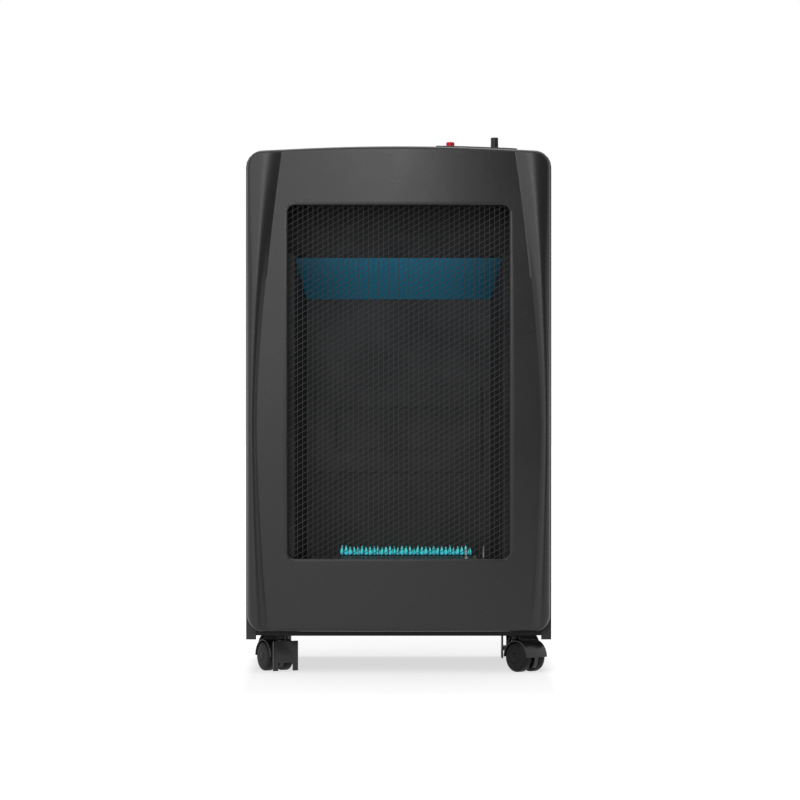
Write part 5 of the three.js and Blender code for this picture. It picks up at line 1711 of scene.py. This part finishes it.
@dataclass
class CabinetShell:
    """The steel round the heater: tray, side panels, top, rear cover and its hooks."""

    def build(self) -> None:
        """Rounds the folded edges and gives each sheet its enamel."""
        for node, surface, body, width in (
            ("base_tray", BLACK_ENAMEL, CABINET_BODY, 0.4),
            ("side_panel_left", CHARCOAL_GRAINED, CABINET_BODY, 0.3),
            ("side_panel_right", CHARCOAL_GRAINED, CABINET_BODY, 0.3),
            ("top_panel", CHARCOAL_TOP, CABINET_BODY, 0.3),
            ("rear_cover", CHARCOAL_GRAINED, "cover", 0.3),
            ("cover_hook_left", ZINC, CABINET_BODY, 0.3),
            ("cover_hook_right", ZINC, CABINET_BODY, 0.3),
        ):
            Workpiece.from_node(node).bevel(width, 2, 50).smooth(30).flatten().finish(surface, body, node)


# ---- Studio ----


class Lamp(Enum):
    """A soft box: its place, what it points at, its size in millimetres, and its watts."""

    KEY = ((-1340, -2680, 1600), (0, 0, 370), (2500, 2900), 24)
    STRIP = ((-40, -3400, 1500), (0, 0, 520), (360, 1500), 10)
    TOP = ((0, 300, 2300), (0, 0, 600), (1800, 1400), 18)

    def build(self) -> None:
        """Hangs the lamp."""
        at, aim, size, watts = self.value
        clear_bench()
        where, target = Vector(at) * MM, Vector(aim) * MM
        bpy.ops.object.light_add(type="AREA", location=where)
        lamp = bpy.context.object
        lamp.name = f"{self.name.lower()}_softbox"
        lamp.rotation_euler = (target - where).to_track_quat("-Z", "Y").to_euler()
        lamp.data.shape = "RECTANGLE"
        lamp.data.size, lamp.data.size_y = size[0] * MM, size[1] * MM
        lamp.data.energy = watts


@dataclass
class Studio:
    """Floor, lamps, world and camera."""

    camera_x: float = 1.8
    camera_distance: float = 6000
    camera_height: float = 374
    face: float = -200
    lens: float = 197.235
    sensor: float = 36
    floor_size: float = 60
    floor_grey: float = 0.5
    floor_in_mirrors: float = 0.7
    # the camera glow's level in a painted shade band under and behind the heater, and that band's limits
    shadow_level: float = 0.66
    shadow_side: tuple[float, float] = (198, 240)
    shadow_reach: tuple[float, float] = (600, 1500)
    flag_size: float = 2.1
    flag_middle: float = 1050
    flag_grey: float = 0.25
    flag_angle: float = 29
    flag_place: Point = (1310, -2360, 0)
    world_light: float = 0.3

    def _floor(self) -> None:
        """A wide pale floor whose camera glow is dimmed in a band under and behind the heater, a painted
        shade band in which the real shadow shows; elsewhere the glow keeps it white.
        """
        floor = Workpiece.grid("floor", 8, 8)
        floor.move_points(lambda place: place * self.floor_size)
        graph = Graph("floor_white")
        path = graph.add("ShaderNodeLightPath").outputs
        camera = Wire(graph, path["Is Camera Ray"])
        mirrored = Wire(graph, path["Is Glossy Ray"]) + Wire(graph, path["Is Transmission Ray"])
        colour = graph.shade((self.floor_grey,) * 3, 0.99 + 0.02 * graph.noise(900, 2))
        diffuse = graph.node("ShaderNodeBsdfDiffuse", inputs={"Color": colour})
        away = (graph.along(Axis.X) ** 2 + graph.along(Axis.Y) ** 2) ** 0.5
        # painted shade band: the camera glow is dimmed by place under and behind the heater, so that the real
        # shadow shows only there
        clear = graph.along(Axis.X).size().held(*self.shadow_side) + away.held(*self.shadow_reach)
        level = self.shadow_level + (1 - self.shadow_level) * clear.held(0, 1)
        strength = camera * level + mirrored.held(0, 1) * self.floor_in_mirrors
        glow = graph.node("ShaderNodeEmission", inputs={"Color": (1, 1, 1, 1), "Strength": strength})
        both = graph.node("ShaderNodeAddShader", inputs={0: diffuse, 1: glow})
        graph.add("ShaderNodeOutputMaterial", inputs={"Surface": both})
        floor.object.data.materials.append(graph.made)

    def _flag(self) -> None:
        """A grey panel in front on the right, unseen by the camera, that the front's dark side mirrors."""
        flag = Workpiece.grid("grey_flag", 1, 1)
        size = self.flag_size
        flag.move_points(lambda place: Vector((place.x * size, 0, place.y * size + self.flag_middle)))
        flag.turn(self.flag_angle, Axis.Z).shift(self.flag_place)
        graph = Graph("flag_grey")
        grey = graph.node("ShaderNodeBsdfDiffuse", inputs={"Color": (*(self.flag_grey,) * 3, 1)})
        graph.add("ShaderNodeOutputMaterial", inputs={"Surface": grey})
        flag.object.data.materials.append(graph.made)
        flag.object.visible_camera = False

    def _world(self) -> None:
        """White for the camera and in reflections, a plain grey level for the light."""
        world = bpy.data.worlds.new("studio")
        world.use_nodes = True
        bpy.context.scene.world = world
        tree = world.node_tree
        background = tree.nodes["Background"]
        path = tree.nodes.new("ShaderNodeLightPath")
        level = tree.nodes.new("ShaderNodeMapRange")
        level.inputs["To Min"].default_value = self.world_light
        level.inputs["To Max"].default_value = 1.0
        seen = path.outputs["Is Camera Ray"]
        for kind in ("Is Glossy Ray", "Is Transmission Ray"):
            either = tree.nodes.new("ShaderNodeMath")
            either.operation = "MAXIMUM"
            tree.links.new(seen, either.inputs[0])
            tree.links.new(path.outputs[kind], either.inputs[1])
            seen = either.outputs[0]
        tree.links.new(seen, level.inputs["Value"])
        tree.links.new(level.outputs[0], background.inputs["Strength"])
        background.inputs["Color"].default_value = (1, 1, 1, 1)

    def _camera(self) -> None:
        """The photograph's camera: far off, level, at half the heater's height."""
        clear_bench()
        where = Vector((self.camera_x, self.face - self.camera_distance, self.camera_height)) * MM
        bpy.ops.object.camera_add(location=where, rotation=(math.pi / 2, 0, 0))
        camera = bpy.context.object
        camera.data.lens = self.lens
        camera.data.sensor_width = self.sensor
        camera.data.sensor_fit = "HORIZONTAL"
        camera.data.clip_end = 100
        bpy.context.scene.camera = camera

    def build(self) -> None:
        """Sets up floor, light and camera."""
        self._floor()
        self._flag()
        for lamp in Lamp:
            lamp.build()
        self._world()
        self._camera()
        bpy.context.scene.view_settings.view_transform = "Standard"


# ---- The whole ----


def main() -> None:
    """Builds the heater's looks piece by piece."""
    logging.basicConfig(level=logging.INFO, format="%(message)s")
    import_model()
    Studio().build()
    for assembly in (FrontFascia(), WireGuard(), Chamber(), Burner(), Controls(), CabinetShell()):
        assembly.build()
    for corner in Corner:
        Caster(corner).build()
    clear_bench()


if __name__ == "__main__":
    main()
